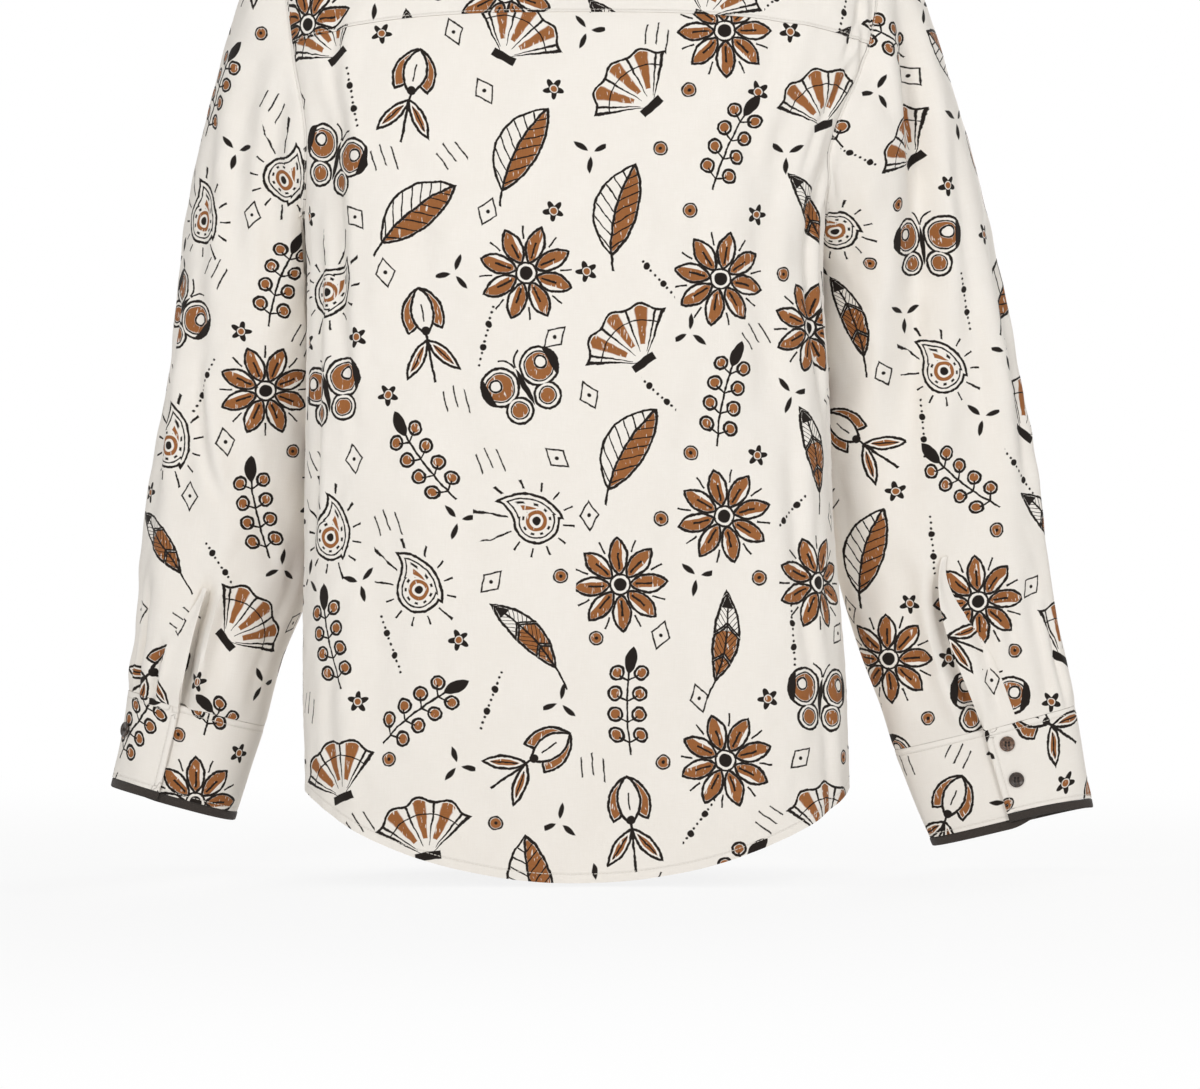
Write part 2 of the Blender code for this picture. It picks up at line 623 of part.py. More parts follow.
def build_leaf():
    """The fall leaves the stand's top edge, rolls over and ends just above the shoulders."""
    turn = collar_turns()
    side = (turn - 90.0) / (turn[-1] - 90.0)
    tip = np.clip((np.abs(side) - COLLAR_TIP_START) / (1.0 - COLLAR_TIP_START), 0.0, 1.0) ** 2
    low_turn = turn - np.sign(side) * COLLAR_SPREAD * tip
    low_level = NECK_LEVEL - COLLAR_BACK - COLLAR_POINT * tip
    ring = neck_point(turn, np.full(turn.shape, STAND_HEIGHT), stand_step(turn))
    away = unit(ring * (1.0, 1.0, 0.0))
    up = unit(np.cross(away, np.gradient(ring, axis=0)))
    ring = ring + up * (DOUBLE_CLOTH + NECK_GAP)
    pull = ring + away * COLLAR_PULL + up * COLLAR_ROLL
    end = body(low_turn, low_level, COLLAR_LIFT)
    v = between(0.0, 1.0, COLLAR_ROWS)[:, None, None]
    face = (1.0 - v) ** 2 * ring + 2.0 * v * (1.0 - v) * pull + v**2 * end
    cloth("collar_leaf", face, grid_normal(face, face * AXIS), DOUBLE_CLOTH)


def opening_falls(sizes):
    return between(sizes["opening_top"], sizes["top"] - SEAM_GAP, 4)


def build_sleeve(side):
    sizes = dict(zip(CUFF_COLUMNS, CUFF_SIZES[side]))
    share = between(0.0, 1.0, CAP_ROWS, last=False)[:, None]
    cap = sleeve_cap(side, SLEEVE_TURNS[None, :], share)
    falls = np.concatenate([between(SLEEVE_TOP, sizes["opening_top"], 6)[:-1], opening_falls(sizes)])
    tube = sleeve(side, SLEEVE_TURNS[None, :], falls[:, None])
    face = np.concatenate([cap, tube])
    normal = grid_normal(face, face.mean(axis=1, keepdims=True), around=True)
    cloth(f"sleeve_{side}", face, normal, CLOTH, around=True)


def build_opening_edge(side):
    """The folded edge that laps the sleeve's opening: a narrow tongue at its top, wide at the cuff."""
    sizes = dict(zip(CUFF_COLUMNS, CUFF_SIZES[side]))
    share = between(0.0, 1.0, 2)[None, :]
    fall = opening_falls(sizes)[:, None]
    down = (fall - fall[0]) / (fall[-1] - fall[0])
    width = OPENING_TOP_WIDTH + (OPENING_WIDTH - OPENING_TOP_WIDTH) * ease(1.5 * down)
    turn = sizes["edge"] + OPENING_LEAN * (1.0 - down) - width * share
    face = sleeve(side, turn, fall, CLOTH + LAID_GAP)
    normal = grid_normal(face, sleeve(side, turn, fall))
    cloth(f"sleeve_placket_{side}", face, normal, CLOTH)


def cuff_face(side, falls):
    """A strip that runs once round the wrist and laps over its own start, with both ends a little higher."""
    sizes = dict(zip(CUFF_COLUMNS, CUFF_SIZES[side]))
    run = np.arange(0.0, 360.0 + CUFF_LAP + 1.0, CUFF_STEP)[None, :]
    turn = sizes["edge"] - CUFF_LAP + run
    climb = ease((run - CUFF_CLIMB_START) / (360.0 - CUFF_LAP / 2.0 - CUFF_CLIMB_START))
    share = (falls - sizes["top"]) / (sizes["bottom"] - sizes["top"])
    over, under = ease((run - 300.0) / 90.0), ease(1.5 * (CUFF_LAP - run) / CUFF_LAP)
    fall = falls[:, None] - sizes["lift"] * (over + under) * share[:, None]
    return sleeve(side, turn, fall, CUFF_EASE + (DOUBLE_CLOTH + LAID_GAP) * climb)


def build_cuff(side):
    sizes = dict(zip(CUFF_COLUMNS, CUFF_SIZES[side]))
    trim_top = sizes["bottom"] + SEAM_GAP
    cuff_falls = between(sizes["top"], sizes["bottom"], 2)
    trim_falls = between(trim_top, trim_top + TRIM_HEIGHT, 1)
    for name, falls, kind in (("cuff", cuff_falls, "cloth"), ("cuff_trim", trim_falls, "trim")):
        face = cuff_face(side, falls)
        normal = grid_normal(face, face.mean(axis=1, keepdims=True))
        cloth(f"{name}_{side}", face, normal, DOUBLE_CLOTH, kind)


def build_cuff_buttons():
    count = {"left": 0, "right": 0}
    out = CUFF_EASE + DOUBLE_CLOTH + 3.0 * LAID_GAP
    for row in CUFF_BUTTONS:
        where = dict(zip(CUFF_BUTTON_COLUMNS, row))
        side, turn, fall = where["side"], np.array(where["turn"]), np.array(where["fall"])
        count[side] += 1
        place = sleeve(side, turn, fall, out)
        normal = sleeve(side, turn, fall, out + BUTTON_THICKNESS) - place
        button(f"cuff_button_{side}_{count[side]}", place, normal, CUFF_BUTTON)


def build_front_buttons():
    out = DOUBLE_CLOTH + 2.0 * LAID_GAP
    for number in range(FRONT_BUTTONS):
        height = FRONT_BUTTON_TOP - FRONT_BUTTON_PITCH * number
        level = level_at(-90.0, height)[0] if height > ARMHOLE_BOTTOM else height
        turn = centre_front(level, 0.0)
        place = body(turn, level, out)
        normal = body_normal(turn, level)
        button(f"front_button_{number + 1}", place, normal, FRONT_BUTTON)
    middle = np.array(STAND_HEIGHT / 2.0)
    place = neck_point(np.array(-90.0), middle, DOUBLE_CLOTH + 3.0 * LAID_GAP)
    button("collar_button", place, np.array((0.0, -1.0, NECK_LEAN)), FRONT_BUTTON)


def main():
    for thing in list(bpy.data.objects):
        bpy.data.objects.remove(thing, do_unlink=True)
    build_back()
    build_yoke()
    for side in SIGN:
        front_levels = build_front(side)
        build_sleeve(side)
        build_opening_edge(side)
        build_cuff(side)
    build_band(front_levels)
    build_stand()
    build_leaf()
    build_front_buttons()
    build_cuff_buttons()


main()
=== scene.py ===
import math

import bpy
import numpy as np
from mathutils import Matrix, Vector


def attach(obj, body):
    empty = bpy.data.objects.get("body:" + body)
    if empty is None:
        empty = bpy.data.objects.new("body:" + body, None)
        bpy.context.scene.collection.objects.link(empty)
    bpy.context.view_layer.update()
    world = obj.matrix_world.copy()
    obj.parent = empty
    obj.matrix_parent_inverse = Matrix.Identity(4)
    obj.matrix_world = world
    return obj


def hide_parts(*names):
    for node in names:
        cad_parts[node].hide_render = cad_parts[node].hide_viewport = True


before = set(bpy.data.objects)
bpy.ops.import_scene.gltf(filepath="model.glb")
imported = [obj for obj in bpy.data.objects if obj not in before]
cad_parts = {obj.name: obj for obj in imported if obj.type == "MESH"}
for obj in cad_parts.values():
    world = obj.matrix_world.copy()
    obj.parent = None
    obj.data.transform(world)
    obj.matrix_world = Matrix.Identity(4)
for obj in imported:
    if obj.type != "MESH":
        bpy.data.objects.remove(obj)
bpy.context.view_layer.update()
print("frame loaded:", len(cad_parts), "nodes")

# The shirt is filled out as if worn. +Z is up, the front faces -Y and the wearer's left is +X.
# A place on the body is a turn in degrees, from the left side (0) through the back (90), and a level in metres.
# A place on a sleeve is a turn from its outer edge (0) through its back (90), and a fall below the neck.
cloth = {
    "single": 0.0009,     # thickness of one layer
    "double": 0.0021,     # of cuffs, collar and button band
    "seamGap": 0.0003,
    "armholeGap": 0.0002,
    "neckGap": 0.0010,
    "laidGap": 0.0004,
    "cadDouble": 0.0022,  # what the collar and band stand out by
    "seamPull": 0.0005,   # how far a seam is drawn in
    "pullWidth": 0.004,   # and how far beside the seam
    "seamFade": 0.016,    # how far from a sewn edge the waves are whole
    "creasing": 1.7,      # share of the written depth of every crease
    "pucker": 0.00020,
    "puckerLength": 0.012,
    "puckerFade": (0.009, 0.0015),  # how far from the seam they die away and start
    "unevenness": 0.00075,
    "fineWaves": 0.35,    # share of short waves beside the long ones
    "noStitch": 1.0,      # a distance from any stitching that is too far to show
}


def ease(t):  # smooth step from 0 to 1: t squared times (3 - 2t)
    t = np.clip(t, 0.0, 1.0)
    return t * t * (3.0 - 2.0 * t)


def unit(vectors):  # each vector over its own length
    return vectors / np.linalg.norm(vectors, axis=-1, keepdims=True)


def evenly(low, high, count, last=True):  # equal steps from low to high, with or without the last value
    return np.linspace(low, high, count + 1 if last else count, endpoint=last)


def stations(length, step, tight=(0.0004, 0.0010, 0.0020)):  # shares of a length, closer together at both ends
    near = np.array((0.0, *tight)) / length
    middle = np.linspace(near[-1], 1.0 - near[-1], max(3, round(length / step)))
    return np.concatenate([near[:-1], middle, 1.0 - near[-2::-1]])


def counted(size):  # stations for a (length, number of steps) pair
    return stations(size[0], size[0] / size[1])


def readRows(rows, at):  # cubic curves through the rows, with each row's slope taken from its neighbours
    values = np.array(rows)
    knots = values[:, 0]
    slopes = np.gradient(values, knots, axis=0)
    at = np.clip(at, knots[0], knots[-1])
    low = np.clip(np.searchsorted(knots, at) - 1, 0, len(knots) - 2)
    width = knots[low + 1] - knots[low]
    t = (at - knots[low]) / width
    found = []
    for column in range(1, values.shape[1]):
        start, end = values[low, column], values[low + 1, column]
        leave = (t - 1.0) ** 2 * t * width * slopes[low, column]
        arrive = (t - 1.0) * t * t * width * slopes[low + 1, column]
        found.append(start + (end - start) * (3.0 - 2.0 * t) * t * t + leave + arrive)
    return found


def foldDepth(rows, turn, place, radius):
    # Soft troughs: depth times exp(-a squared), a being the distance across over the width.
    depth = np.zeros(np.broadcast(turn, place).shape)
    for middleTurn, middle, reach, lean, width, deep in rows:
        middle, reach, width, deep = (size / 1000.0 for size in (middle, reach, width, deep))
        off = (turn - middleTurn - lean * (place - middle) + 180.0) % 360.0 - 180.0
        across = np.radians(off) * radius / width
        depth += deep * np.exp(-across**2) * ease(1.5 * (1.0 - np.abs(place - middle) / reach))
    return depth


def creaseDepth(rows, turn, place, radius):
    # A trough as above, along a bent line, with a lower ridge beside it at 1.8 widths.
    depth = np.zeros(np.broadcast(turn, place).shape)
    for middleTurn, middle, reach, lean, bend, width, deep in rows:
        middle, reach, width, deep = (size / 1000.0 for size in (middle, reach, width, deep))
        along = place - middle
        off = (turn - middleTurn - lean * along - bend * (along / reach) ** 2 + 180.0) % 360.0 - 180.0
        across = np.radians(off) * radius / width
        shape = np.exp(-across**2) - 0.45 * np.exp(-((across - 1.8) ** 2))
        depth += deep * shape * ease(1.7 * (1.0 - np.abs(along) / reach))
    return depth * cloth["creasing"]


def unevenness(u, v, seed, size, tall=2.5):  # a sum of 18 seeded plane waves, longer up the cloth than across it
    rng = np.random.default_rng(seed)
    total = np.zeros(np.shape(u))
    for _ in range(18):
        wave = 2.0 * math.pi / (size * rng.uniform(0.6, 1.9))
        lean, start = rng.uniform(-1.2, 1.2), rng.uniform(0.0, 2.0 * math.pi)
        total += np.sin(wave * (u * math.cos(lean) + v * math.sin(lean) / tall) + start)
    return total / 3.0


def grainOf(u, v, seed, size, fine):  # long soft waves in the cloth, and short ones on them
    short = unevenness(u, v, seed + 7, fine, 1.6)
    return cloth["unevenness"] * (unevenness(u, v, seed, size) + cloth["fineWaves"] * short)


def lengths(points, axis):  # running length along the rows or columns of a grid of points
    steps = np.linalg.norm(np.diff(points, axis=axis), axis=-1)
    start = np.zeros_like(np.take(steps, [0], axis=axis))
    return np.concatenate([start, np.cumsum(steps, axis=axis)], axis=axis)


def edgeRuns(points):  # of each edge: the length along it, and the distance from it
    across, up = lengths(points, 1), lengths(points, 0)
    return {
        "left": (up, across), "right": (up, across[:, -1:] - across),
        "bottom": (across, up), "top": (across, up[-1:] - up),
    }


def laidFlat(points, start, upright, rounds=2200, knots=26):
    # The piece laid flat, as it was cut. Knots of its grid move by part of the error until their steps across, up
    # and aslant are as long as on the form, and the grid between moves with them. One column is then stood upright.
    rows, columns = (np.unique(np.linspace(0, size - 1, knots).astype(int)) for size in points.shape[:2])
    form, first = points[rows][:, columns], start[rows][:, columns]
    flat = first.copy()
    links = (
        (np.s_[:, :-1], np.s_[:, 1:]), (np.s_[:-1], np.s_[1:]),
        (np.s_[:-1, :-1], np.s_[1:, 1:]), (np.s_[1:, :-1], np.s_[:-1, 1:]),
    )
    true = [np.linalg.norm(form[b] - form[a], axis=-1, keepdims=True) for a, b in links]
    count = np.zeros(flat.shape[:2] + (1,))
    for a, b in links:
        count[a] += 1.0
        count[b] += 1.0
    for _ in range(rounds):
        move = np.zeros_like(flat)
        for (a, b), length in zip(links, true):
            step = flat[b] - flat[a]
            step = step * (0.5 - 0.5 * length / np.linalg.norm(step, axis=-1, keepdims=True))
            move[a] += step
            move[b] -= step
        flat += move * (1.5 / count)
    hats = [
        np.array([np.interp(np.arange(size), at, row) for row in np.eye(len(at))])
        for size, at in zip(points.shape[:2], (rows, columns))
    ]
    flat = start + np.einsum("ri,cj,rck->ijk", hats[0], hats[1], flat - first)
    foot = flat[0, upright]
    upwards = 1.0 if start[-1, upright, 1] > start[0, upright, 1] else -1.0
    standX, standY = unit(flat[int(0.8 * len(flat)), upright] - foot) * upwards
    x, y = np.moveaxis(flat - foot, -1, 0)
    return start[0, upright] + np.stack([x * standY - y * standX, x * standX + y * standY], axis=-1)


def gridNormal(face, inside, around=False):  # cross product of the grid's two slopes, turned away from the inside
    if around:
        wide = np.concatenate([face[:, -1:], face, face[:, :1]], axis=1)
        across = np.gradient(wide, axis=1)[:, 1:-1]
    else:
        across = np.gradient(face, axis=1)
    normal = unit(np.cross(across, np.gradient(face, axis=0)))
    return normal if np.sum(normal * (face - inside)) > 0.0 else -normal


body = {
    "squareness": 0.20,
    "radius": 0.170,
    "shoulderRadius": 0.100,
    "neckLevel": 0.085,
    "sleeveTurn": 28.0,   # how far in front of its side a sleeve lies against it
    "sleeveWidth": 22.0,  # and over how many degrees
    # level, centre x, centre y, half width, depth behind, depth in front, height at the side, behind and in front
    "rows": (
        (-0.8, 0.0, 0.02, 0.201, 0.08, 0.132, -0.8, -0.8, -0.8),
        (-0.69, -0.0003, 0.02, 0.2005, 0.081, 0.13, -0.69, -0.69, -0.69),
        (-0.61, 0.0015, 0.02, 0.1995, 0.079, 0.128, -0.61, -0.61, -0.61),
        (-0.5, 0.0055, 0.02, 0.195, 0.075, 0.127, -0.5, -0.5, -0.5),
        (-0.4, 0.0075, 0.019, 0.1925, 0.078, 0.132, -0.4, -0.4, -0.4),
        (-0.27, 0.009, 0.016, 0.192, 0.086, 0.136, -0.27, -0.27, -0.27),
        (-0.21, 0.005, 0.013, 0.203, 0.089, 0.13, -0.21, -0.213, -0.216),
        (-0.15, -0.002, 0.009, 0.222, 0.089, 0.119, -0.15, -0.164, -0.168),
        (-0.045, -0.003, 0.002, 0.208, 0.082, 0.096, -0.045, -0.1, -0.124),
        (0.02, -0.0015, 0.0, 0.14, 0.068, 0.083, -0.022, -0.052, -0.099),
        (0.085, 0.0, 0.0, 0.07, 0.053, 0.07, 0.0, -0.02, -0.076),
    ),
    # Folds and creases are written in degrees and millimetres, and their lean in degrees a metre.
    # the largest folds: turn, level, reach, lean, width, depth
    "folds": (
        (34, -285, 150, 10, 20, 5), (50, -580, 120, -16, 22, 3.5), (134, -310, 190, -6, 20, 5.5),
        (118, -610, 110, 14, 24, 3.5), (228, -440, 180, 10, 22, 5), (312, -470, 170, -12, 22, 5),
    ),
    # the main creases: turn, level, reach, lean, bend, width, depth
    "creases": (
        (41, -165, 85, 30, 4, 8.5, 2.2), (37, -330, 120, -28, 5, 9, 2), (24, -400, 150, 12, -3, 10, 2.2),
        (60, -240, 90, -20, 3, 11, 1.2), (77, -185, 60, 14, 0, 10, 1.2), (71, -470, 110, 18, -4, 13, 1.1),
        (97, -300, 80, -12, 3, 13, 0.8), (88, -620, 90, -10, 4, 14, 1.2), (116.5, -310, 60, 10, 0, 9, 1.1),
        (123.5, -175, 85, -8, 3, 9.5, 2.6), (111, -480, 90, 24, 2, 12, 1.2), (142, -520, 150, -14, 4, 11, 2),
        (157, -315, 120, -10, 4, 9, 2.8), (147, -200, 60, 36, 0, 7, 1.4), (147, -128, 36, 90, 0, 5.5, 1.4),
        (151, -135, 34, -150, 0, 5, 1.3), (32, -640, 70, 10, 3, 12, 1.6), (151, -655, 60, -20, 0, 11, 1.6),
        (9, -350, 110, 14, 4, 10, 2), (172, -370, 130, -14, -4, 10, 2), (196, -300, 100, -24, 3, 9.5, 2.2),
        (209, -470, 150, 14, -3, 11, 1.8), (217, -215, 85, 36, 4, 8.5, 2.2), (236, -300, 120, -18, 3, 10, 1.4),
        (246, -560, 110, 12, -3, 12, 1.6), (255, -210, 60, 10, 0, 9, 1), (284, -270, 90, -14, 3, 10, 1.2),
        (296, -590, 120, 16, 3, 12, 1.7), (301, -235, 80, -30, -4, 9, 1.9), (322, -330, 130, 18, 4, 10, 2.3),
        (334, -520, 120, -14, 3, 11, 1.7), (346, -290, 90, 22, 0, 9, 2.2), (355, -600, 80, 10, 0, 11, 1.5),
    ),
}
hem = {"side": -0.688, "dropBack": 0.0665, "dropFront": 0.052, "power": 0.77, "fold": 0.0065}
armholeOval = {"top": -0.045, "middle": -0.165, "bottom": -0.270, "back": 25.0, "front": 32.0}
yoke = {
    "centre": -0.1263, "drop": 0.0197, "power": 3.0, "frontTurn": -12.0, "stitch": 0.0018,
    "lift": 0.0003, "liftWidth": 0.006, "seamShare": 0.4,
}
sign = {"left": 1.0, "right": -1.0}


def bodyForm(turn, level):
    # A ring: x = centre + width cos t (1 + q sin squared t), y = centre + depth sin t (1 + q cos squared t).
    # Its height goes from the side's to the back's or the front's with sin squared t.
    turn, level = np.broadcast_arrays(np.radians(turn), level)
    centreX, centreY, halfWidth, back, front, sideZ, backZ, frontZ = readRows(body["rows"], level)
    cos, sin, square = np.cos(turn), np.sin(turn), body["squareness"]
    depth, endZ = np.where(sin > 0.0, back, front), np.where(sin > 0.0, backZ, frontZ)
    x = centreX + halfWidth * cos * (1.0 + square * sin**2)
    y = centreY + depth * sin * (1.0 + square * cos**2)
    return np.stack([x, y, sideZ + (endZ - sideZ) * sin**2], axis=-1)


def bodyNormal(turn, level):  # cross product of the slopes round and up
    level = np.clip(level, None, body["neckLevel"] - 0.002)
    across = bodyForm(turn + 0.2, level) - bodyForm(turn - 0.2, level)
    up = bodyForm(turn, level + 0.002) - bodyForm(turn, level - 0.002)
    return unit(np.cross(across, up))


def clearOfSleeve(turn, level):  # 0 in the middle of where a sleeve lies against the body, and 1 away from there
    forward = np.degrees(np.arcsin(np.sin(np.radians(turn)))) + body["sleeveTurn"]
    below = ease((armholeOval["bottom"] + 0.03 - level) / 0.03)
    return 1.0 - np.exp(-((forward / body["sleeveWidth"]) ** 2)) * below


def bodyAt(turn, level, out=0.0, creased=1.0):  # the form, moved out, less its folds and creases
    push = out - foldDepth(body["folds"], turn, level, body["radius"])
    push = push - creased * creaseDepth(body["creases"], turn, level, body["radius"]) * clearOfSleeve(turn, level)
    return bodyForm(turn, level) + bodyNormal(turn, level) * np.asarray(push)[..., None]


def levelAt(turn, height):  # the level, on the upper body, at which the form reaches each height
    levels = np.linspace(armholeOval["bottom"], body["neckLevel"], 200)
    turn = np.atleast_1d(turn)
    height = np.broadcast_to(height, turn.shape)
    tall = bodyForm(turn[:, None], levels[None, :])[..., 2]
    return np.array([np.interp(h, row, levels) for row, h in zip(tall, height)])


def bodyEdge(side, y, z):  # how far out the ring reaches at a distance back: six Newton steps for the turn there
    centreX, centreY, halfWidth, back, front = readRows(body["rows"], z)[:5]
    off, square = y - centreY, body["squareness"]
    share = np.clip(off / np.where(off > 0.0, back, front), -0.999, 0.999)
    turn = np.arcsin(share)
    for _ in range(6):
        sin, cos = np.sin(turn), np.cos(turn)
        slope = cos * (1.0 + square * (cos**2 - 2.0 * sin**2))
        turn = np.clip(turn - (sin * (1.0 + square * cos**2) - share) / np.maximum(slope, 0.2), -1.5, 1.5)
    return sign[side] * centreX + halfWidth * np.cos(turn) * (1.0 + square * np.sin(turn) ** 2)


def armhole(side, turn, gap=0.0):  # an oval of turn and level, made larger by the gap
    sin, cos = np.sin(np.radians(turn)), np.cos(np.radians(turn))
    oval = armholeOval
    across = np.where(sin > 0.0, oval["back"], oval["front"]) + math.degrees(gap / body["radius"])
    tall = np.where(cos > 0.0, oval["top"] - oval["middle"], oval["middle"] - oval["bottom"]) + gap
    onLeft = across * sin
    return (onLeft if side == "left" else 180.0 - onLeft), oval["middle"] + tall * cos


def yokeHeight(turn):  # flat in the middle, and lower towards the armholes with the cube of the distance across
    turn = np.radians(turn)
    across = np.abs(np.cos(turn) * (1.0 + body["squareness"] * np.sin(turn) ** 2))
    return yoke["centre"] - yoke["drop"] * (across / 0.95) ** yoke["power"]


def hemHeight(turn):  # the side's height less drop times (1 - across squared) to a power
    sin, cos = np.sin(np.radians(turn)), np.cos(np.radians(turn))
    across = np.clip(np.abs(cos * (1.0 + body["squareness"] * sin**2)), 0.0, 1.0)
    return hem["side"] - np.where(sin > 0.0, hem["dropBack"], hem["dropFront"]) * (1.0 - across**2) ** hem["power"]


def yokeCorner():  # the turn round the armhole where the back's yoke seam meets it
    turns = np.linspace(110.0, 50.0, 120)
    onBody, levels = armhole("left", turns)
    return float(np.interp(0.0, bodyForm(onBody, levels)[:, 2] - yokeHeight(onBody), turns))


backCorner = yokeCorner()
frontCorner = 360.0 + math.degrees(math.asin(yoke["frontTurn"] / armholeOval["front"]))


sleeves = {
    # fall, how far out, how far forward, half width, half depth, tilt in degrees
    "left": (
        (0.305, 0.2365, 0.046, 0.06, 0.06, 8.0),
        (0.38, 0.2466, 0.05, 0.06, 0.056, 9.0),
        (0.455, 0.2573, 0.055, 0.0612, 0.052, 9.5),
        (0.53, 0.2637, 0.06, 0.0645, 0.046, 10.5),
        (0.584, 0.2771, 0.063, 0.0564, 0.045, 12.5),
        (0.617, 0.2835, 0.065, 0.0532, 0.042, 14.0),
        (0.634, 0.2862, 0.066, 0.0513, 0.036, 15.0),
        (0.67, 0.295, 0.068, 0.0482, 0.0345, 15.5),
        (0.7062, 0.3045, 0.069, 0.0468, 0.034, 15.7),
    ),
    "right": (
        (0.305, 0.2442, 0.048, 0.07, 0.052, 8.0),
        (0.38, 0.2552, 0.052, 0.0755, 0.043, 9.0),
        (0.455, 0.263, 0.056, 0.0815, 0.036, 9.5),
        (0.53, 0.2755, 0.06, 0.0785, 0.032, 11.0),
        (0.58, 0.2878, 0.063, 0.075, 0.031, 12.5),
        (0.618, 0.2988, 0.065, 0.0713, 0.03, 13.5),
        (0.649, 0.3068, 0.066, 0.0688, 0.023, 14.0),
        (0.685, 0.3168, 0.068, 0.065, 0.022, 14.0),
        (0.724, 0.3283, 0.069, 0.061, 0.022, 13.7),
    ),
    "squareness": 0.10,
    "radius": 0.055,
    "clearance": 0.0010,  # from the body
    "softness": 0.0016,
    "top": 0.305,         # fall of the first ring, where the cap ends
    "columns": (68, 34, 40),  # to the outer edge, to the yoke's seam and on to the underarm
    # how the cap leaves the armhole and meets the first ring: at the top, side and bottom
    "capOut": (0.120, 0.068, 0.012),
    "capDrop": (0.030, 0.030, 0.004),
    "capEnd": (0.320, 0.120, 0.045),
    "capClear": 0.030,
    "clearTurn": 160.0,   # where the waves and creases are gone, towards the side that lies against the body
    "clearFade": 30.0,    # and over how many degrees they go
}
# the largest folds: turn, fall, reach, lean, width, depth
sleeveFolds = {
    "left": (
        (56, 420, 110, 60, 14, 4.5), (110, 470, 90, -60, 14, 4), (31.5, 595, 60, 0, 9, 4),
        (285, 480, 130, 50, 14, 4.5), (330, 600, 60, 0, 9, 4),
    ),
    "right": (
        (112, 400, 100, 90, 15, 5), (60, 400, 110, 30, 14, 4.5), (43.5, 600, 70, 0, 9, 4),
        (125, 560, 80, -40, 14, 3.5), (270, 470, 140, 40, 14, 4.5),
    ),
}
# the main creases: turn, fall, reach, lean, bend, width, depth
sleeveCreases = {
    "left": (
        (70, 235, 110, 70, 8, 8.5, 2.2), (96, 250, 120, 60, -6, 7.5, 2), (44, 280, 120, 90, 0, 8, 2),
        (66, 432, 60, 300, 6, 5, 2.6), (88, 400, 90, 70, 8, 8, 1.4), (111, 487, 45, 260, 0, 5, 1.8),
        (76, 520, 50, -90, 0, 7, 1.4), (100, 570, 50, 60, 6, 7, 1.4), (55, 612, 30, -40, 0, 3.6, 2.4),
        (32, 600, 50, 0, 0, 4, 2), (14, 590, 60, 30, 4, 5, 2), (20, 400, 110, 70, 0, 8, 2),
        (350, 300, 130, 60, 6, 8, 2.2), (325, 420, 120, -50, 0, 8.5, 2.2), (300, 280, 110, 50, 8, 8, 2),
        (255, 330, 120, 60, -6, 8, 2), (265, 550, 80, -60, 0, 7, 1.8), (310, 590, 60, 30, 0, 5, 2.2),
        (225, 480, 100, 50, 4, 8, 1.8), (140, 560, 80, -40, 0, 8, 1.6),
    ),
    "right": (
        (76, 260, 200, 150, 0, 10.5, 11.8), (88, 215, 100, 90, 4, 7.5, 2.6), (52, 330, 160, 95, 0, 8, 2.6),
        (73, 335, 100, 100, 0, 6.5, 2), (103, 160, 40, 330, 0, 4.5, 1.8), (90, 165, 45, -240, 0, 4.5, 1.6),
        (104, 300, 90, 60, -6, 7.5, 1.8), (99, 445, 70, 70, 4, 7.5, 2.2), (74, 450, 120, 50, -4, 7, 1.9),
        (86, 545, 60, -60, 0, 7, 1.6), (112, 560, 60, 70, 4, 7, 1.6), (80, 605, 45, 20, 0, 4, 2.6),
        (63, 570, 45, -20, 0, 4, 2.2), (28, 610, 50, 30, 0, 4.5, 2), (20, 380, 130, 80, 4, 8, 2.2),
        (0, 500, 110, 40, -4, 8, 1.8), (345, 290, 130, 60, 6, 8, 2.2), (318, 400, 130, -50, 0, 8.5, 2.4),
        (290, 290, 110, 50, 8, 8, 2), (250, 360, 120, 60, -6, 8, 2), (300, 590, 70, -30, 0, 5.5, 2.4),
        (240, 560, 80, 50, 0, 7, 1.8), (215, 450, 100, 50, 4, 8, 1.8), (145, 500, 90, -40, 0, 8, 1.8),
    ),
}


def clearOfBody(side, points, clearance):
    # Moves points out to the wall: half of (out + wall + root of (their difference squared + softness squared)).
    out = sign[side] * points[..., 0]
    wall = bodyEdge(side, points[..., 1], points[..., 2]) + clearance
    moved = 0.5 * (out + wall + np.sqrt((out - wall) ** 2 + sleeves["softness"] ** 2))
    return np.stack([sign[side] * moved, points[..., 1], points[..., 2]], axis=-1)


def sleeveForm(side, turn, fall):  # tilted oval rings, flattened where they meet the body
    turn, fall = np.broadcast_arrays(np.radians(turn), fall)
    out, forward, halfWidth, halfDepth, tilt = readRows(sleeves[side], fall)
    cos, sin, square, tilt = np.cos(turn), np.sin(turn), sleeves["squareness"], np.radians(tilt)
    sideways = halfWidth * cos * (1.0 + square * sin**2)
    x = sign[side] * (out + sideways * np.cos(tilt))
    y = halfDepth * sin * (1.0 + square * cos**2) - forward
    return clearOfBody(side, np.stack([x, y, sideways * np.sin(tilt) - fall], axis=-1), sleeves["clearance"])


def sleeveNormal(side, turn, fall):  # cross product of the slopes round and up, turned out on both sleeves
    across = sleeveForm(side, turn + 1.0, fall) - sleeveForm(side, turn - 1.0, fall)
    up = sleeveForm(side, turn, fall - 0.004) - sleeveForm(side, turn, fall + 0.004)
    return unit(np.cross(across, up)) * sign[side]


def sleeveAt(side, turn, fall, out=0.0, creased=1.0):  # the form, moved out, less its folds and creases
    push = out - foldDepth(sleeveFolds[side], turn, fall, sleeves["radius"])
    push = push - creased * creaseDepth(sleeveCreases[side], turn, fall, sleeves["radius"])
    return sleeveForm(side, turn, fall) + sleeveNormal(side, turn, fall) * np.asarray(push)[..., None]


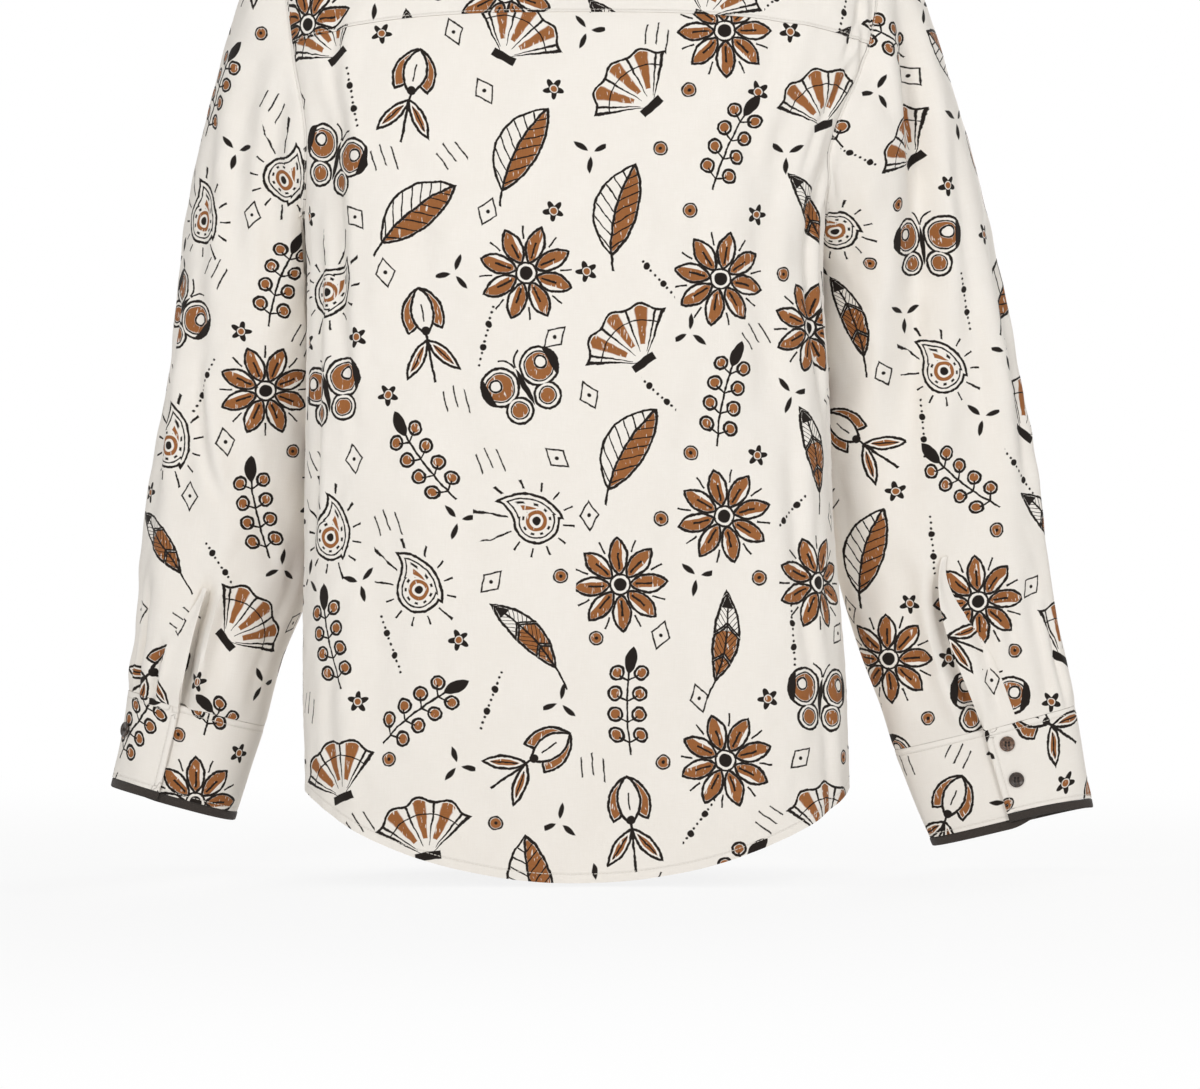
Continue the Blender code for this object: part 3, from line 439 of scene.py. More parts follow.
def bySide(values, turn):  # a square curve in cos t through the values at the top, side and bottom of the armhole
    top, side, bottom = values
    cos = np.cos(np.radians(turn))
    return side + 0.5 * (top - bottom) * cos + (0.5 * (top + bottom) - side) * cos**2


def sleeveCap(side, turn, share):  # cubic paths from the armhole (0) to the first ring (1)
    turn, share = np.broadcast_arrays(turn, share)
    gap = cloth["seamGap"] / 2.0 - cloth["armholeGap"]
    start = bodyAt(*armhole(side, turn, gap), -cloth["seamPull"])
    end = sleeveAt(side, turn, sleeves["top"], creased=0.0)
    out, drop = sign[side] * bySide(sleeves["capOut"], turn), -bySide(sleeves["capDrop"], turn)
    leave = np.stack([out, np.zeros(turn.shape), drop], axis=-1)
    down = unit(sleeveForm(side, turn, sleeves["top"] + 0.02) - sleeveForm(side, turn, sleeves["top"]))
    arrive = down * bySide(sleeves["capEnd"], turn)[..., None]
    t = share[..., None]
    path = start + (end - start) * (3.0 - 2.0 * t) * t * t
    path = path + (t - 1.0) ** 2 * t * leave + (t - 1.0) * t * t * arrive
    free = clearOfBody(side, path, sleeves["clearance"] * ease(4.0 * share))
    below = ease((armholeOval["bottom"] + sleeves["capClear"] - path[..., 2]) / sleeves["capClear"])
    return path + (free - path) * (below * ease(8.0 * share))[..., None]


class Wire:  # a socket that can be used in sums
    def __init__(self, tree, socket):
        self.tree, self.socket = tree, socket

    def __add__(self, other): return sums(self.tree, "ADD", self, other)
    def __radd__(self, other): return sums(self.tree, "ADD", other, self)
    def __sub__(self, other): return sums(self.tree, "SUBTRACT", self, other)
    def __rsub__(self, other): return sums(self.tree, "SUBTRACT", other, self)
    def __mul__(self, other): return sums(self.tree, "MULTIPLY", self, other)
    def __rmul__(self, other): return sums(self.tree, "MULTIPLY", other, self)
    def __truediv__(self, other): return sums(self.tree, "DIVIDE", self, other)
    def __abs__(self): return sums(self.tree, "ABSOLUTE", self)


def joinUp(tree, value, socket):  # a wire is linked, and a number or colour becomes the default
    if isinstance(value, Wire):
        tree.links.new(value.socket, socket)
    else:
        socket.default_value = value


def addNode(tree, kind, inputs, output=0, **settings):  # a node with its settings and inputs, and one of its outputs
    node = tree.nodes.new("ShaderNode" + kind)
    for name, value in settings.items():
        setattr(node, name, value)
    for name, value in inputs.items():
        joinUp(tree, value, node.inputs[name])
    return Wire(tree, node.outputs[output])


def sums(tree, operation, *values):  # one step of arithmetic
    return addNode(tree, "Math", dict(enumerate(values)), operation=operation)


def most(first, *others):  # the greatest of all
    for other in others:
        first = sums(first.tree, "MAXIMUM", first, other)
    return first


def least(a, b): return sums(a.tree, "MINIMUM", a, b)
def floorOf(a): return sums(a.tree, "FLOOR", a)
def cosine(a): return sums(a.tree, "COSINE", a)
def sine(a): return sums(a.tree, "SINE", a)
def root(a): return sums(a.tree, "SQRT", a)
def far(x, y): return root(x * x + y * y)
def above(a, limit): return sums(a.tree, "GREATER_THAN", a, limit)
def wrapped(a, size): return sums(a.tree, "PINGPONG", a, size / 2.0)  # distance to the nearest multiple


def ramp(value, low, high, start=0.0, end=1.0):  # a smooth step from start, at low, to end, at high
    names = ("Value", "From Min", "From Max", "To Min", "To Max")
    inputs = dict(zip(names, (value, low, high, start, end)))
    return addNode(value.tree, "MapRange", inputs, "Result", interpolation_type="SMOOTHSTEP")


def within(distance): return ramp(distance, -0.22, 0.22, 1.0, 0.0)  # 1 inside an outline, 0 outside
def drawn(distance, half): return ramp(abs(distance), half - 0.2, half + 0.2, 1.0, 0.0)  # 1 on a line, 0 off it


def lens(x, y, halfWidth, halfLength):  # pointed leaf: inside both of two circles, upright
    a = (halfLength**2 - halfWidth**2) / (2.0 * halfWidth)
    return far(abs(x) + a, y) - (a + halfWidth)


def turned(x, y, degrees):  # the place in axes turned by an angle
    cos, sin = math.cos(math.radians(degrees)), math.sin(math.radians(degrees))
    return x * cos + y * sin, y * cos - x * sin


vectorKind, floatKind = "NodeSocketVector", "NodeSocketFloat"


def newGroup(name, inputs, outputs):
    # A shader group with named sockets: its tree, its inputs as wires, and its output node.
    tree = bpy.data.node_groups.new(name, "ShaderNodeTree")
    for title, kind, value in inputs:
        socket = tree.interface.new_socket(title, in_out="INPUT", socket_type=kind)
        if value is not None:
            socket.default_value = value
    for title, kind in outputs:
        tree.interface.new_socket(title, in_out="OUTPUT", socket_type=kind)
    source, sink = tree.nodes.new("NodeGroupInput"), tree.nodes.new("NodeGroupOutput")
    return tree, {socket.name: Wire(tree, socket) for socket in source.outputs if socket.name}, sink


def noiseOf(tree, vector, scale, detail=2.0, output="Fac"):  # soft noise on a flat map
    inputs = {"Vector": vector, "Scale": scale, "Detail": detail}
    return addNode(tree, "TexNoise", inputs, output, noise_dimensions="2D")


def vectorSums(tree, operation, vector, other):  # one step of arithmetic with vectors
    inputs = {0: vector, "Scale" if operation == "SCALE" else 1: other}
    return addNode(tree, "VectorMath", inputs, "Vector", operation=operation)


def apart(tree, vector, kind="SeparateXYZ"):  # the three parts of a vector or a colour
    node = tree.nodes.new("ShaderNode" + kind)
    joinUp(tree, vector, node.inputs[0])
    return [Wire(tree, socket) for socket in node.outputs]


def chance(tree, x, y, salt):  # three even random values for each whole x, y
    place = addNode(tree, "CombineXYZ", {0: x, 1: y, 2: salt})
    values = addNode(tree, "TexWhiteNoise", {"Vector": place}, "Color", noise_dimensions="3D")
    return apart(tree, values, "SeparateColor")


def mixed(tree, share, low, high):  # the low colour at 0, the high one at 1
    return addNode(tree, "Mix", {"Factor": share, 6: low, 7: high}, 2, data_type="RGBA")


# A plain tossed print of garden motifs, drawn in millimetres with a brown fill and a black line.
printed = {
    "columnWidth": 74.0,
    "rowHeight": 88.0,
    "shake": 6.2,      # how far a motif is moved off its place
    "swing": 1.0,      # and turned, in radians
    "markShake": 2.5, "markSwing": 0.9,
    "wobble": 1.5,
    "line": 0.82,      # half the width of a drawn line
    "motifs": 1.15,    # their size
    "marks": 1.60,     # and that of the small marks between them
}


def daisy(x, y, line):  # eight pointed petals round a dark middle
    r = far(x, y)
    eighth = sums(x.tree, "ARCTAN2", y, x) * (4.0 / math.pi)
    off = (eighth - sums(x.tree, "ROUND", eighth)) * (math.pi / 4.0)
    px, py = r * cosine(off), r * sine(off)
    petal = lens(py, px - 18.0, 5.6, 11.5)
    between = (math.pi / 8.0 - abs(off)) * r
    return within(most(petal + 0.9, 0.0 - py - 2.6)), most(
        drawn(petal, line), drawn(most(abs(py), abs(px - 15.0) - 4.5), line * 0.8),
        within(r - 4.2), drawn(r - 6.4, line * 0.8), drawn(most(between, abs(r - 25.5) - 3.6), line * 0.7),
    )


def broadLeaf(x, y, line):  # a bent leaf, filled on one side of its rib
    x = x - y * y * 0.0055 + 2.0
    leaf = lens(x, y - 3.0, 13.5, 29.0)
    rib = most(abs(x), abs(y + 2.0) - 33.0)
    veins = most(wrapped(y - abs(x) * 0.85, 7.4), leaf + 1.2)
    return within(most(leaf + 1.0, 0.8 - x)), most(drawn(leaf, line), drawn(rib, line), drawn(veins, line * 0.7))


def tulip(x, y, line):  # three petals on a stem with two leaves
    side = abs(x)
    sx, sy = turned(side - 6.0, y - 15.0, 20.0)
    outer = lens(sx, sy, 6.4, 14.0)
    middle = lens(x, y - 14.0, 7.2, 14.5)
    lx, ly = turned(side - 8.5, y + 15.0, 38.0)
    leaf = lens(lx, ly, 3.9, 13.5)
    stem = most(abs(x), abs(y + 15.0) - 15.5)
    return most(within(most(outer + 1.2, 1.0 - middle)), within(leaf + 1.9)), most(
        drawn(middle, line), drawn(most(outer, 0.0 - middle), line), drawn(leaf, line), drawn(stem, line),
        drawn(most(abs(lx), abs(ly) - 8.0), line * 0.6), drawn(most(abs(x), abs(y - 13.0) - 5.0), line * 0.6),
        within(far(x, y - 1.5) - 2.8),
    )


def butterfly(x, y, line):  # round wings with a spot, seen from above
    side = abs(x)
    upper = far(side - 14.0, y - 8.0) - 12.0
    lower = far(side - 10.0, y + 10.5) - 8.2
    wing = least(upper, lower)
    spot = far(side - 16.0, y - 10.0)
    trunk = lens(x, y - 1.0, 1.9, 13.0)
    feeler = most(abs(far(side - 10.0, y - 14.0) - 9.6), side - 6.5, 15.0 - y)
    return within(most(wing + 3.6, 4.6 - spot)), most(
        drawn(wing, line), within(trunk), drawn(spot - 3.8, line * 0.8), drawn(feeler, line * 0.7),
        drawn(most(wing + 2.8, 6.5 - far(side, y)), line * 0.6), within(most(upper + 0.4, 21.0 - side)),
    )


def paisley(x, y, line):  # a ring joined to a curled tail, with lines inside it
    ring = far(x, y + 8.0) - 14.0
    tail = most(far(x + 14.0, y + 8.0) - 28.0, 17.1 - far(x + 22.0, y - 14.0), (x + y + 8.0) * -0.707)
    shape = least(ring, tail)
    seed = far(x, y + 8.0)
    angle = sums(x.tree, "ARCTAN2", y + 8.0, x)
    beads = most(abs(shape + 5.4), wrapped(angle * 9.0, 6.2832) * 0.62)
    rays = most(wrapped(angle * 20.0, 10.472), abs(shape - 6.0) - 2.4)
    return within(most(shape + 7.4, 4.2 - seed)), most(
        drawn(shape, line), drawn(shape + 3.0, line * 0.6), within(beads - 0.75), within(seed - 2.6),
        drawn(rays, line * 0.7),
    )


def feather(x, y, line):  # a long vane with slanting barbs and two notches
    x = x + y * y * 0.0045 - 2.0
    vane = lens(x, y - 5.0, 8.0, 28.0)
    notch = abs(wrapped(y + abs(x) * 0.9 + 6.0, 19.0)) * -1.0 + 0.9
    quill = most(abs(x), abs(y + 4.0) - 34.0)
    barbs = most(wrapped(y - abs(x) * 1.3, 3.9), vane + 1.0)
    return within(most(vane + 1.0, y - 9.0, notch)), most(
        drawn(most(vane, notch), line), drawn(quill, line * 0.8), drawn(barbs, line * 0.45),
        within(most(vane + 1.0, 23.0 - y)),
    )


def shell(x, y, line):  # a fan of ribs from a hinge
    low = y + 20.0
    r, lean = far(x, low), sums(x.tree, "ARCTAN2", x, low)
    rib = cosine(lean * 11.4)
    edge = r - 36.0 - rib * 1.5
    fan = most(edge, (abs(lean) - 0.95) * 24.0)
    ears = most(abs(x) - 8.0, abs(low - 0.5) - 2.6)
    grooves = most(wrapped(lean + 0.2756, 0.5512) * 26.0, fan + 1.0, 8.0 - r)
    return within(most(fan + 1.4, 12.0 - r, 0.15 - rib)), most(
        drawn(fan, line), drawn(grooves, line * 0.8), within(ears), drawn(most(abs(r - 27.0), fan), line * 0.5),
    )


def berrySprig(x, y, line):  # pairs of berries up a stem, with a leaf at the top
    x = x - y * y * 0.003 + 1.0
    up = most(least(floorOf((y + 26.0) / 13.0), 3.0), 0.0) * 13.0 - 20.0
    berry = far(abs(x) - 7.6, y - up) - 4.1
    stalk = most(abs(abs(x) * 0.55 - (y - up) - 5.0), abs(abs(x) - 2.8) - 2.8)
    leaf = lens(x, y - 27.0, 3.9, 8.8)
    stem = most(abs(x), abs(y + 5.0) - 27.0)
    stems = drawn(least(stem, most(stalk, y - 30.0)), line * 0.8)
    return within(most(berry + 1.2, 0.0 - abs(x) + 5.0)), most(drawn(berry, line), stems, within(leaf))


def picked(tree, pick, drawings):  # the fill and the ink of the one drawing whose number was picked
    fill = ink = 0.0
    for number, (brown, black) in enumerate(drawings):
        chosen = sums(tree, "COMPARE", pick, float(number), 0.5)
        fill, ink = chosen * brown + fill, chosen * black + ink
    return fill, ink


def smallMarks(tree, x, y, pick, line):  # beads, a blossom, a diamond, seeds, strokes or a ring between the motifs
    r, angle = far(x, y), sums(tree, "ARCTAN2", y, x)
    bead = 0.62 + sums(tree, "COMPARE", abs(y), 5.4, 1.4)
    dots = most(far(wrapped(y, 2.7), x) - least(bead, 1.35), abs(y) - 14.0)
    row = far(abs(y) - 5.4, x) - 1.2
    fifth = cosine(angle * 5.0)
    blossom = r - 3.7 - fifth * 1.3
    diamond = (abs(x) * 1.5 + abs(y)) * 0.62 - 4.0
    third = wrapped(angle, 2.0944)
    seeds = lens(r * sine(third), r * cosine(third) - 5.4, 1.25, 3.8)
    strokes = most(wrapped(x + y * 0.16, 5.0), abs(y + abs(x) * 0.5) - 4.6, abs(x) - 6.5)
    return picked(tree, pick, (
        (within(row), most(within(dots), drawn(row, line * 0.7))),
        (within(r - 1.5), within(most(blossom, 1.9 - r))),
        (0.0, most(drawn(diamond, line * 0.8), within(r - 0.9))),
        (0.0, within(seeds)),
        (0.0, drawn(strokes, line * 0.7)),
        (within(r - 2.4), most(drawn(r - 3.0, line * 0.8), within(r - 0.8))),
    ))


def motifPlace(tree, x, y, cell, salt, shake, swing, size):  # a place in a motif, moved and turned by chance
    column, row, centreX, centreY = cell
    first, second, third = chance(tree, column, row, salt)
    x = x - centreX - (first - 0.5) * (2.0 * shake)
    y = y - centreY - (second - 0.5) * (2.0 * shake)
    angle = (third - 0.5) * (2.0 * swing)
    cos, sin = cosine(angle), sine(angle)
    return (x * cos + y * sin) * (1.0 / size), (y * cos - x * sin) * (1.0 / size)


def oddOf(number):  # 1 for an odd whole number and 0 for an even one
    return number - floorOf(number * 0.5) * 2.0


def buildPrint():  # motifs by columns and rows, with small marks between them and dry streaks in the brown
    outputs = [("Fill", floatKind), ("Ink", floatKind)]
    tree, given, sink = newGroup("gardenPrint", [("Place", vectorKind, None)], outputs)
    place = vectorSums(tree, "SCALE", given["Place"], 1000.0)
    shake = vectorSums(tree, "SUBTRACT", noiseOf(tree, place, 0.11, 1.0, "Color"), (0.5, 0.5, 0.5))
    place = vectorSums(tree, "ADD", place, vectorSums(tree, "SCALE", shake, printed["wobble"]))
    x, y, _ = apart(tree, place)
    weight = noiseOf(tree, place, 0.35, 1.0)
    line = printed["line"] * (0.55 + weight * 0.95)
    wide, tall = printed["columnWidth"], printed["rowHeight"]

    # motifs stand in columns, every second one half a row higher, and a column's rows take turns at two sets of kinds
    column = floorOf(x / wide)
    half = oddOf(column) * (tall * 0.5)
    row = floorOf((y - half) / tall)
    cell = (column, row, (column + 0.5) * wide, (row + 0.5) * tall + half)
    mx, my = motifPlace(tree, x, y, cell, 3.0, printed["shake"], printed["swing"], printed["motifs"])
    kinds = (daisy, broadLeaf, tulip, butterfly, paisley, feather, shell, berrySprig)
    kind = floorOf(chance(tree, column, row, 11.0)[0] * 3.999) * 2.0 + oddOf(row)
    fill, ink = picked(tree, kind, [draw(mx, my, line) for draw in kinds])

    # small marks stand between the motifs, a sixth of a column from its edges
    third = floorOf(x / (wide / 3.0))
    onEdge = 1.0 - sums(tree, "COMPARE", third - floorOf(third / 3.0) * 3.0, 1.0, 0.5)
    edge = floorOf((x + wide / 3.0) / wide) * wide
    atX = edge + (above(x - edge, 0.0) * 2.0 - 1.0) * (wide / 6.0)
    half = oddOf(floorOf(atX / wide)) * (tall * 0.5)
    row = floorOf((y - half) / tall + 0.5)
    cell = (atX, row, atX, row * tall + half)
    sx, sy = motifPlace(tree, x, y, cell, 5.0, printed["markShake"], printed["markSwing"], printed["marks"])
    kind = floorOf(chance(tree, atX, row, 17.0)[1] * 5.999)
    markFill, markInk = smallMarks(tree, sx, sy, kind, line * (1.0 / printed["marks"]))
    fill, ink = fill + markFill * onEdge, ink + markInk * onEdge

    streaks = noiseOf(tree, vectorSums(tree, "MULTIPLY", place, (0.55, 0.12, 1.0)), 1.0, 2.0)
    fill = fill * ramp(streaks, 0.66, 0.74, 1.0, 0.15)
    joinUp(tree, least(fill, 1.0), sink.inputs["Fill"])
    joinUp(tree, least(ink, 1.0), sink.inputs["Ink"])
    return tree


def buildWeave():  # a plain weave: threads across and along, uneven in thickness
    outputs = [("Height", floatKind), ("Shade", floatKind)]
    tree, given, sink = newGroup("plainWeave", [("Place", vectorKind, None)], outputs)
    place = vectorSums(tree, "SCALE", given["Place"], 1000.0)
    across = noiseOf(tree, vectorSums(tree, "MULTIPLY", place, (0.10, 1.9, 1.0)), 1.0, 2.0)
    along = noiseOf(tree, vectorSums(tree, "MULTIPLY", place, (1.9, 0.08, 1.0)), 1.0, 2.0)
    cloud = noiseOf(tree, place, 0.025, 3.0)
    x, y, _ = apart(tree, place)
    threads = sine(x * 13.0) * sine(y * 13.0)
    joinUp(tree, (across + along) * 0.7 + threads * 0.25, sink.inputs["Height"])
    joinUp(tree, (across + along - 1.0) * 0.6 + (cloud - 0.5) * 0.5 + 0.5, sink.inputs["Shade"])
    return tree


def buildStitching():  # a row of stitches where the distance is 0, and a step up to the folded side below it
    inputs = [("Sewing", vectorKind, None), ("Length", floatKind, 0.0028)]
    outputs = [("Thread", floatKind), ("Height", floatKind)]
    tree, given, sink = newGroup("stitchRow", inputs, outputs)
    along, off, _ = apart(tree, given["Sewing"])
    dash = ramp(wrapped(along / given["Length"], 1.0), 0.10, 0.20)
    thread = ramp(abs(off), 0.00018, 0.00040, 1.0, 0.0) * dash
    dip = ramp(abs(off), 0.0002, 0.0013, 1.0, 0.0)
    fold = ramp(off, -0.0007, 0.0007, 1.0, 0.0)
    joinUp(tree, thread, sink.inputs["Thread"])
    joinUp(tree, fold * 0.5 - dip * 0.5 + thread * 0.35, sink.inputs["Height"])
    return tree


def useGroup(tree, group, **values):  # a group placed in a material with its own values, and its outputs by name
    node = tree.nodes.new("ShaderNodeGroup")
    node.node_tree = group
    for name, value in values.items():
        joinUp(tree, value, node.inputs[name])
    return {socket.name: Wire(tree, socket) for socket in node.outputs}


def newMaterial(name, roughness, sheen=0.0, specular=0.5):  # a material with its tree and shader
    material = bpy.data.materials.new(name)
    material.use_nodes = True
    tree = material.node_tree
    shader = tree.nodes["Principled BSDF"]
    shader.inputs["Roughness"].default_value = roughness
    shader.inputs["Sheen Weight"].default_value = sheen
    shader.inputs["Specular IOR Level"].default_value = specular
    return material, tree, shader


def mapOf(tree, name):  # one of the piece's own maps
    return addNode(tree, "UVMap", {}, uv_map=name)


def bumpInto(tree, shader, height, distance):  # a height, in shares of a distance, into the shader's normal
    bump = addNode(tree, "Bump", {"Height": height, "Strength": 1.0, "Distance": distance}, "Normal")
    joinUp(tree, bump, shader.inputs["Normal"])


gardenPrint, plainWeave, stitchRow = buildPrint(), buildWeave(), buildStitching()
clothFinish = {
    "ground": (0.905, 0.862, 0.800, 1.0),
    "groundShade": (0.840, 0.785, 0.710, 1.0),
    "brown": (0.375, 0.145, 0.046, 1.0),
    "brownShade": (0.262, 0.094, 0.027, 1.0),
    "ink": (0.0110, 0.0070, 0.0050, 1.0),
    "thread": (0.830, 0.775, 0.695, 1.0),
    "roughness": 0.88,
    "sheen": 0.06,
    "showThrough": 0.16,  # how much of the print the reverse shows
}


def clothMaterial(name, share):  # ground, brown fill and black line on the weave, with the stitches laid on top
    finish = clothFinish
    material, tree, shader = newMaterial(name, finish["roughness"], finish["sheen"], 0.25)
    place, sewing = mapOf(tree, "place"), mapOf(tree, "sewing")
    marks = useGroup(tree, gardenPrint, Place=place)
    weave = useGroup(tree, plainWeave, Place=place)
    rows = useGroup(tree, stitchRow, Sewing=sewing)
    shade = ramp(weave["Shade"], 0.25, 0.85, 1.0, 0.0)
    ground = mixed(tree, shade * 0.42, finish["ground"], finish["groundShade"])
    brown = mixed(tree, weave["Shade"], finish["brownShade"], finish["brown"])
    coloured = mixed(tree, marks["Fill"] * share, ground, brown)
    coloured = mixed(tree, marks["Ink"] * share, coloured, finish["ink"])
    coloured = mixed(tree, rows["Thread"] * 0.75, coloured, finish["thread"])
    joinUp(tree, coloured, shader.inputs["Base Color"])
    bumpInto(tree, shader, weave["Height"] * 0.16 + rows["Height"], 0.0006)
    return material


printedCloth = clothMaterial("printedCloth", 1.0)
reverseCloth = clothMaterial("reverseCloth", clothFinish["showThrough"])
clothPair = (printedCloth, reverseCloth)
tapeFinish = {
    # the tape's darkest and lightest colours: between them lie the ribs' painted shade and highlight and the tape's
    # random tone
    "dark": (0.020, 0.0155, 0.0130, 1.0),
    "light": (0.075, 0.060, 0.050, 1.0),
    "roughness": 0.80,
    "rib": 1100.0,  # ribs in a metre
}


def buildTape():  # upright ribs of a narrow woven tape, their tops painted lighter as painted highlight and their grooves darker as painted shade, with random tone from noise
    material, tree, shader = newMaterial("trimTape", tapeFinish["roughness"], 0.10, 0.3)
    place = mapOf(tree, "place")
    rib = sine(apart(tree, place)[0] * (tapeFinish["rib"] * 2.0 * math.pi)) * 0.5 + 0.5
    rough = noiseOf(tree, vectorSums(tree, "SCALE", place, 1000.0), 0.8, 3.0)
    # painted highlight and shade: the colour follows the ribs' height, lighter on their tops, beside random tone from
    # the noise
    colour = mixed(tree, rib * 0.35 + rough * 0.45, tapeFinish["dark"], tapeFinish["light"])
    joinUp(tree, colour, shader.inputs["Base Color"])
    bumpInto(tree, shader, rib * 0.5 + rough * 0.5, 0.0004)
    return material


trimTape = buildTape()
buttonFinish = {
    "darkHorn": ((0.022, 0.014, 0.010, 1.0), (0.060, 0.036, 0.024, 1.0)),
    "brownHorn": ((0.060, 0.030, 0.018, 1.0), (0.190, 0.105, 0.062, 1.0)),
    # near black: painted shade in the sewing holes, which are not cut through the button
    "hole": (0.004, 0.003, 0.003, 1.0),
    "holeOff": 1.25,  # from the middle, in millimetres
    "roughness": 0.28,
}


def buildHorn(name):  # cloudy horn, with four sewing holes drawn from the button's own map in millimetres, coloured near black as painted shade inside them and dipped in the bump
    material, tree, shader = newMaterial(name, buttonFinish["roughness"], 0.0, 0.5)
    place = vectorSums(tree, "SCALE", mapOf(tree, "place"), 1000.0)
    x, y, _ = apart(tree, place)
    hole = far(abs(x) - buttonFinish["holeOff"], abs(y) - buttonFinish["holeOff"])
    cloud = noiseOf(tree, place, 0.42, 3.0)
    horn = mixed(tree, ramp(cloud, 0.38, 0.66), *buttonFinish[name])
    # painted shade: each sewing hole is coloured near black
    horn = mixed(tree, ramp(hole, 0.62, 0.80, 1.0, 0.0), horn, buttonFinish["hole"])
    joinUp(tree, horn, shader.inputs["Base Color"])
    joinUp(tree, cloud * 0.16 + 0.22, shader.inputs["Roughness"])
    bumpInto(tree, shader, 1.0 - ramp(hole, 0.45, 0.95, 1.0, 0.0), 0.0008)
    return material


darkHorn, brownHorn = buildHorn("darkHorn"), buildHorn("brownHorn")


def buildThread(name, colour):  # twisted sewing thread
    material, tree, shader = newMaterial(name, 0.7, 0.1, 0.3)
    x, y, _ = apart(tree, vectorSums(tree, "SCALE", mapOf(tree, "place"), 1000.0))
    twist = sine((x + y) * 16.0) * 0.5 + 0.5
    shade = tuple(part * 0.7 for part in colour[:3]) + (1.0,)
    joinUp(tree, mixed(tree, twist, shade, colour), shader.inputs["Base Color"])
    bumpInto(tree, shader, twist, 0.0003)
    return material


paleThread = buildThread("paleThread", clothFinish["thread"])
darkThread = buildThread("darkThread", (0.050, 0.034, 0.026, 1.0))
print("materials made:", len(gardenPrint.nodes), "nodes in the print")


def addMesh(name, points, faces, maps, materials, slots=0, sharp=50.0):
    # A piece from points and faces, with the given maps at its faces' corners, that rides on the part.
    mesh = bpy.data.meshes.new(name)
    mesh.from_pydata(points, [], faces)
    for title, corners in maps.items():
        corners = np.ascontiguousarray(corners, dtype=np.float32)
        mesh.uv_layers.new(name=title).data.foreach_set("uv", corners.ravel())
    for material in materials:
        mesh.materials.append(material)
    mesh.polygons.foreach_set("material_index", np.full(len(faces), slots, dtype=np.int32))
    mesh.update()
    mesh.shade_smooth()
    mesh.set_sharp_from_angle(angle=math.radians(sharp))
    piece = bpy.data.objects.new(name, mesh)
    bpy.context.scene.collection.objects.link(piece)
    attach(piece, "root")
    return piece


def closed(grid):  # the first column once more at the end
    return np.concatenate([grid, grid[:, :1]], axis=1)


def addCloth(name, outer, normal, thickness, place, sewing, around=False, materials=clothPair):
    # A closed wall: the grid, the same grid moved in by the thickness, and rims that join their edges.
    rows, columns = outer.shape[:2]
    thickness = np.broadcast_to(thickness, outer.shape[:2])[..., None]
    points = np.concatenate([outer.reshape(-1, 3), (outer - normal * thickness).reshape(-1, 3)])
    under = rows * columns
    number = np.arange(under).reshape(rows, columns)
    number = closed(number) if around else number
    mapped = np.arange(number.size).reshape(number.shape)

    def quads(grid, low):
        a, b, c, d = grid[:-1, :-1], grid[:-1, 1:], grid[1:, 1:], grid[1:, :-1]
        return np.stack([x.ravel() + low for x in (a, b, c, d)], axis=1)

    def rimOf(grid):
        if around:
            return [grid[0], grid[-1][::-1]]
        return [np.concatenate([grid[0], grid[1:, -1], grid[-1, -2::-1], grid[-2::-1, 0]])]

    faces = [quads(number, 0), quads(number, under)[:, ::-1]]
    corners = [quads(mapped, 0), quads(mapped, 0)[:, ::-1]]
    for rim, mark in zip(rimOf(number), rimOf(mapped)):
        faces.append(np.stack([rim[1:], rim[:-1], rim[:-1] + under, rim[1:] + under], axis=1))
        corners.append(np.stack([mark[1:], mark[:-1], mark[:-1], mark[1:]], axis=1))
    slots = np.concatenate([np.full(len(group), int(number == 1)) for number, group in enumerate(faces)])
    faces, corners = np.concatenate(faces), np.concatenate(corners)
    first = points[faces[0]]
    if np.dot(np.cross(first[1] - first[0], first[3] - first[0]), normal[0, 0]) < 0.0:
        faces, corners = faces[:, ::-1], corners[:, ::-1]
    corners = corners.ravel()
    maps = {"place": place.reshape(-1, 2)[corners], "sewing": sewing.reshape(-1, 2)[corners]}
    return addMesh(name, points, faces, maps, materials, slots)


def lengthMap(points, shift, upwards=1.0):  # lengths along the rows and up or down the columns, moved by the shift
    return np.stack([lengths(points, 1), upwards * lengths(points, 0)], axis=-1) + shift


def sewingMap(points, rows):
    # For each (edge, inset): length along that edge, and distance from it less the inset; the nearest row wins.
    runs, along = edgeRuns(points), np.zeros(points.shape[:2])
    best = np.full(points.shape[:2], cloth["noStitch"])
    for edge, inset in rows:
        run, distance = runs[edge]
        off = distance - inset
        nearer = np.abs(off) < np.abs(best)
        best, along = np.where(nearer, off, best), np.where(nearer, run, along)
    return np.stack([along, best], axis=-1)


def awayFromSeams(points, edges):  # 0 at each sewn edge, so that pieces meet there, and 1 from the fade's width off
    runs, share = edgeRuns(points), np.ones(points.shape[:2])
    for edge in edges:
        share = share * ease(runs[edge][1] / cloth["seamFade"])
    return share


def drawnIn(points, normal, edges, seed):
    # Moves cloth in beside each sewn edge, by pull times exp(-(distance / width) squared), with small puckers.
    runs, push = edgeRuns(points), np.zeros(points.shape[:2])
    for edge, pull in edges:
        run, distance = runs[edge]
        push -= pull * np.exp(-((distance / cloth["pullWidth"]) ** 2))
        ripple = unevenness(run, np.zeros_like(run), seed + len(edge), cloth["puckerLength"], 1.0)
        far, near = cloth["puckerFade"]
        push += cloth["pucker"] * ripple * (np.exp(-distance / far) * (1.0 - np.exp(-((distance / near) ** 2))))
    return points + normal * push[..., None]


def roundedEdges(points, normal, thickness, edges):
    # Thins a folded edge to a round, kept in the cloth's middle: thickness times the root of 1 - (1 - t) squared,
    # t being the distance over the radius.
    runs, share = edgeRuns(points), np.ones(points.shape[:2])
    for edge in edges:
        t = np.clip(runs[edge][1] / (thickness * 0.55), 0.0, 1.0)
        share = np.minimum(share, np.sqrt(np.clip(1.0 - (1.0 - t) ** 2, 0.06, 1.0)))
    return points - normal * (thickness * (1.0 - share) / 2.0)[..., None], thickness * share


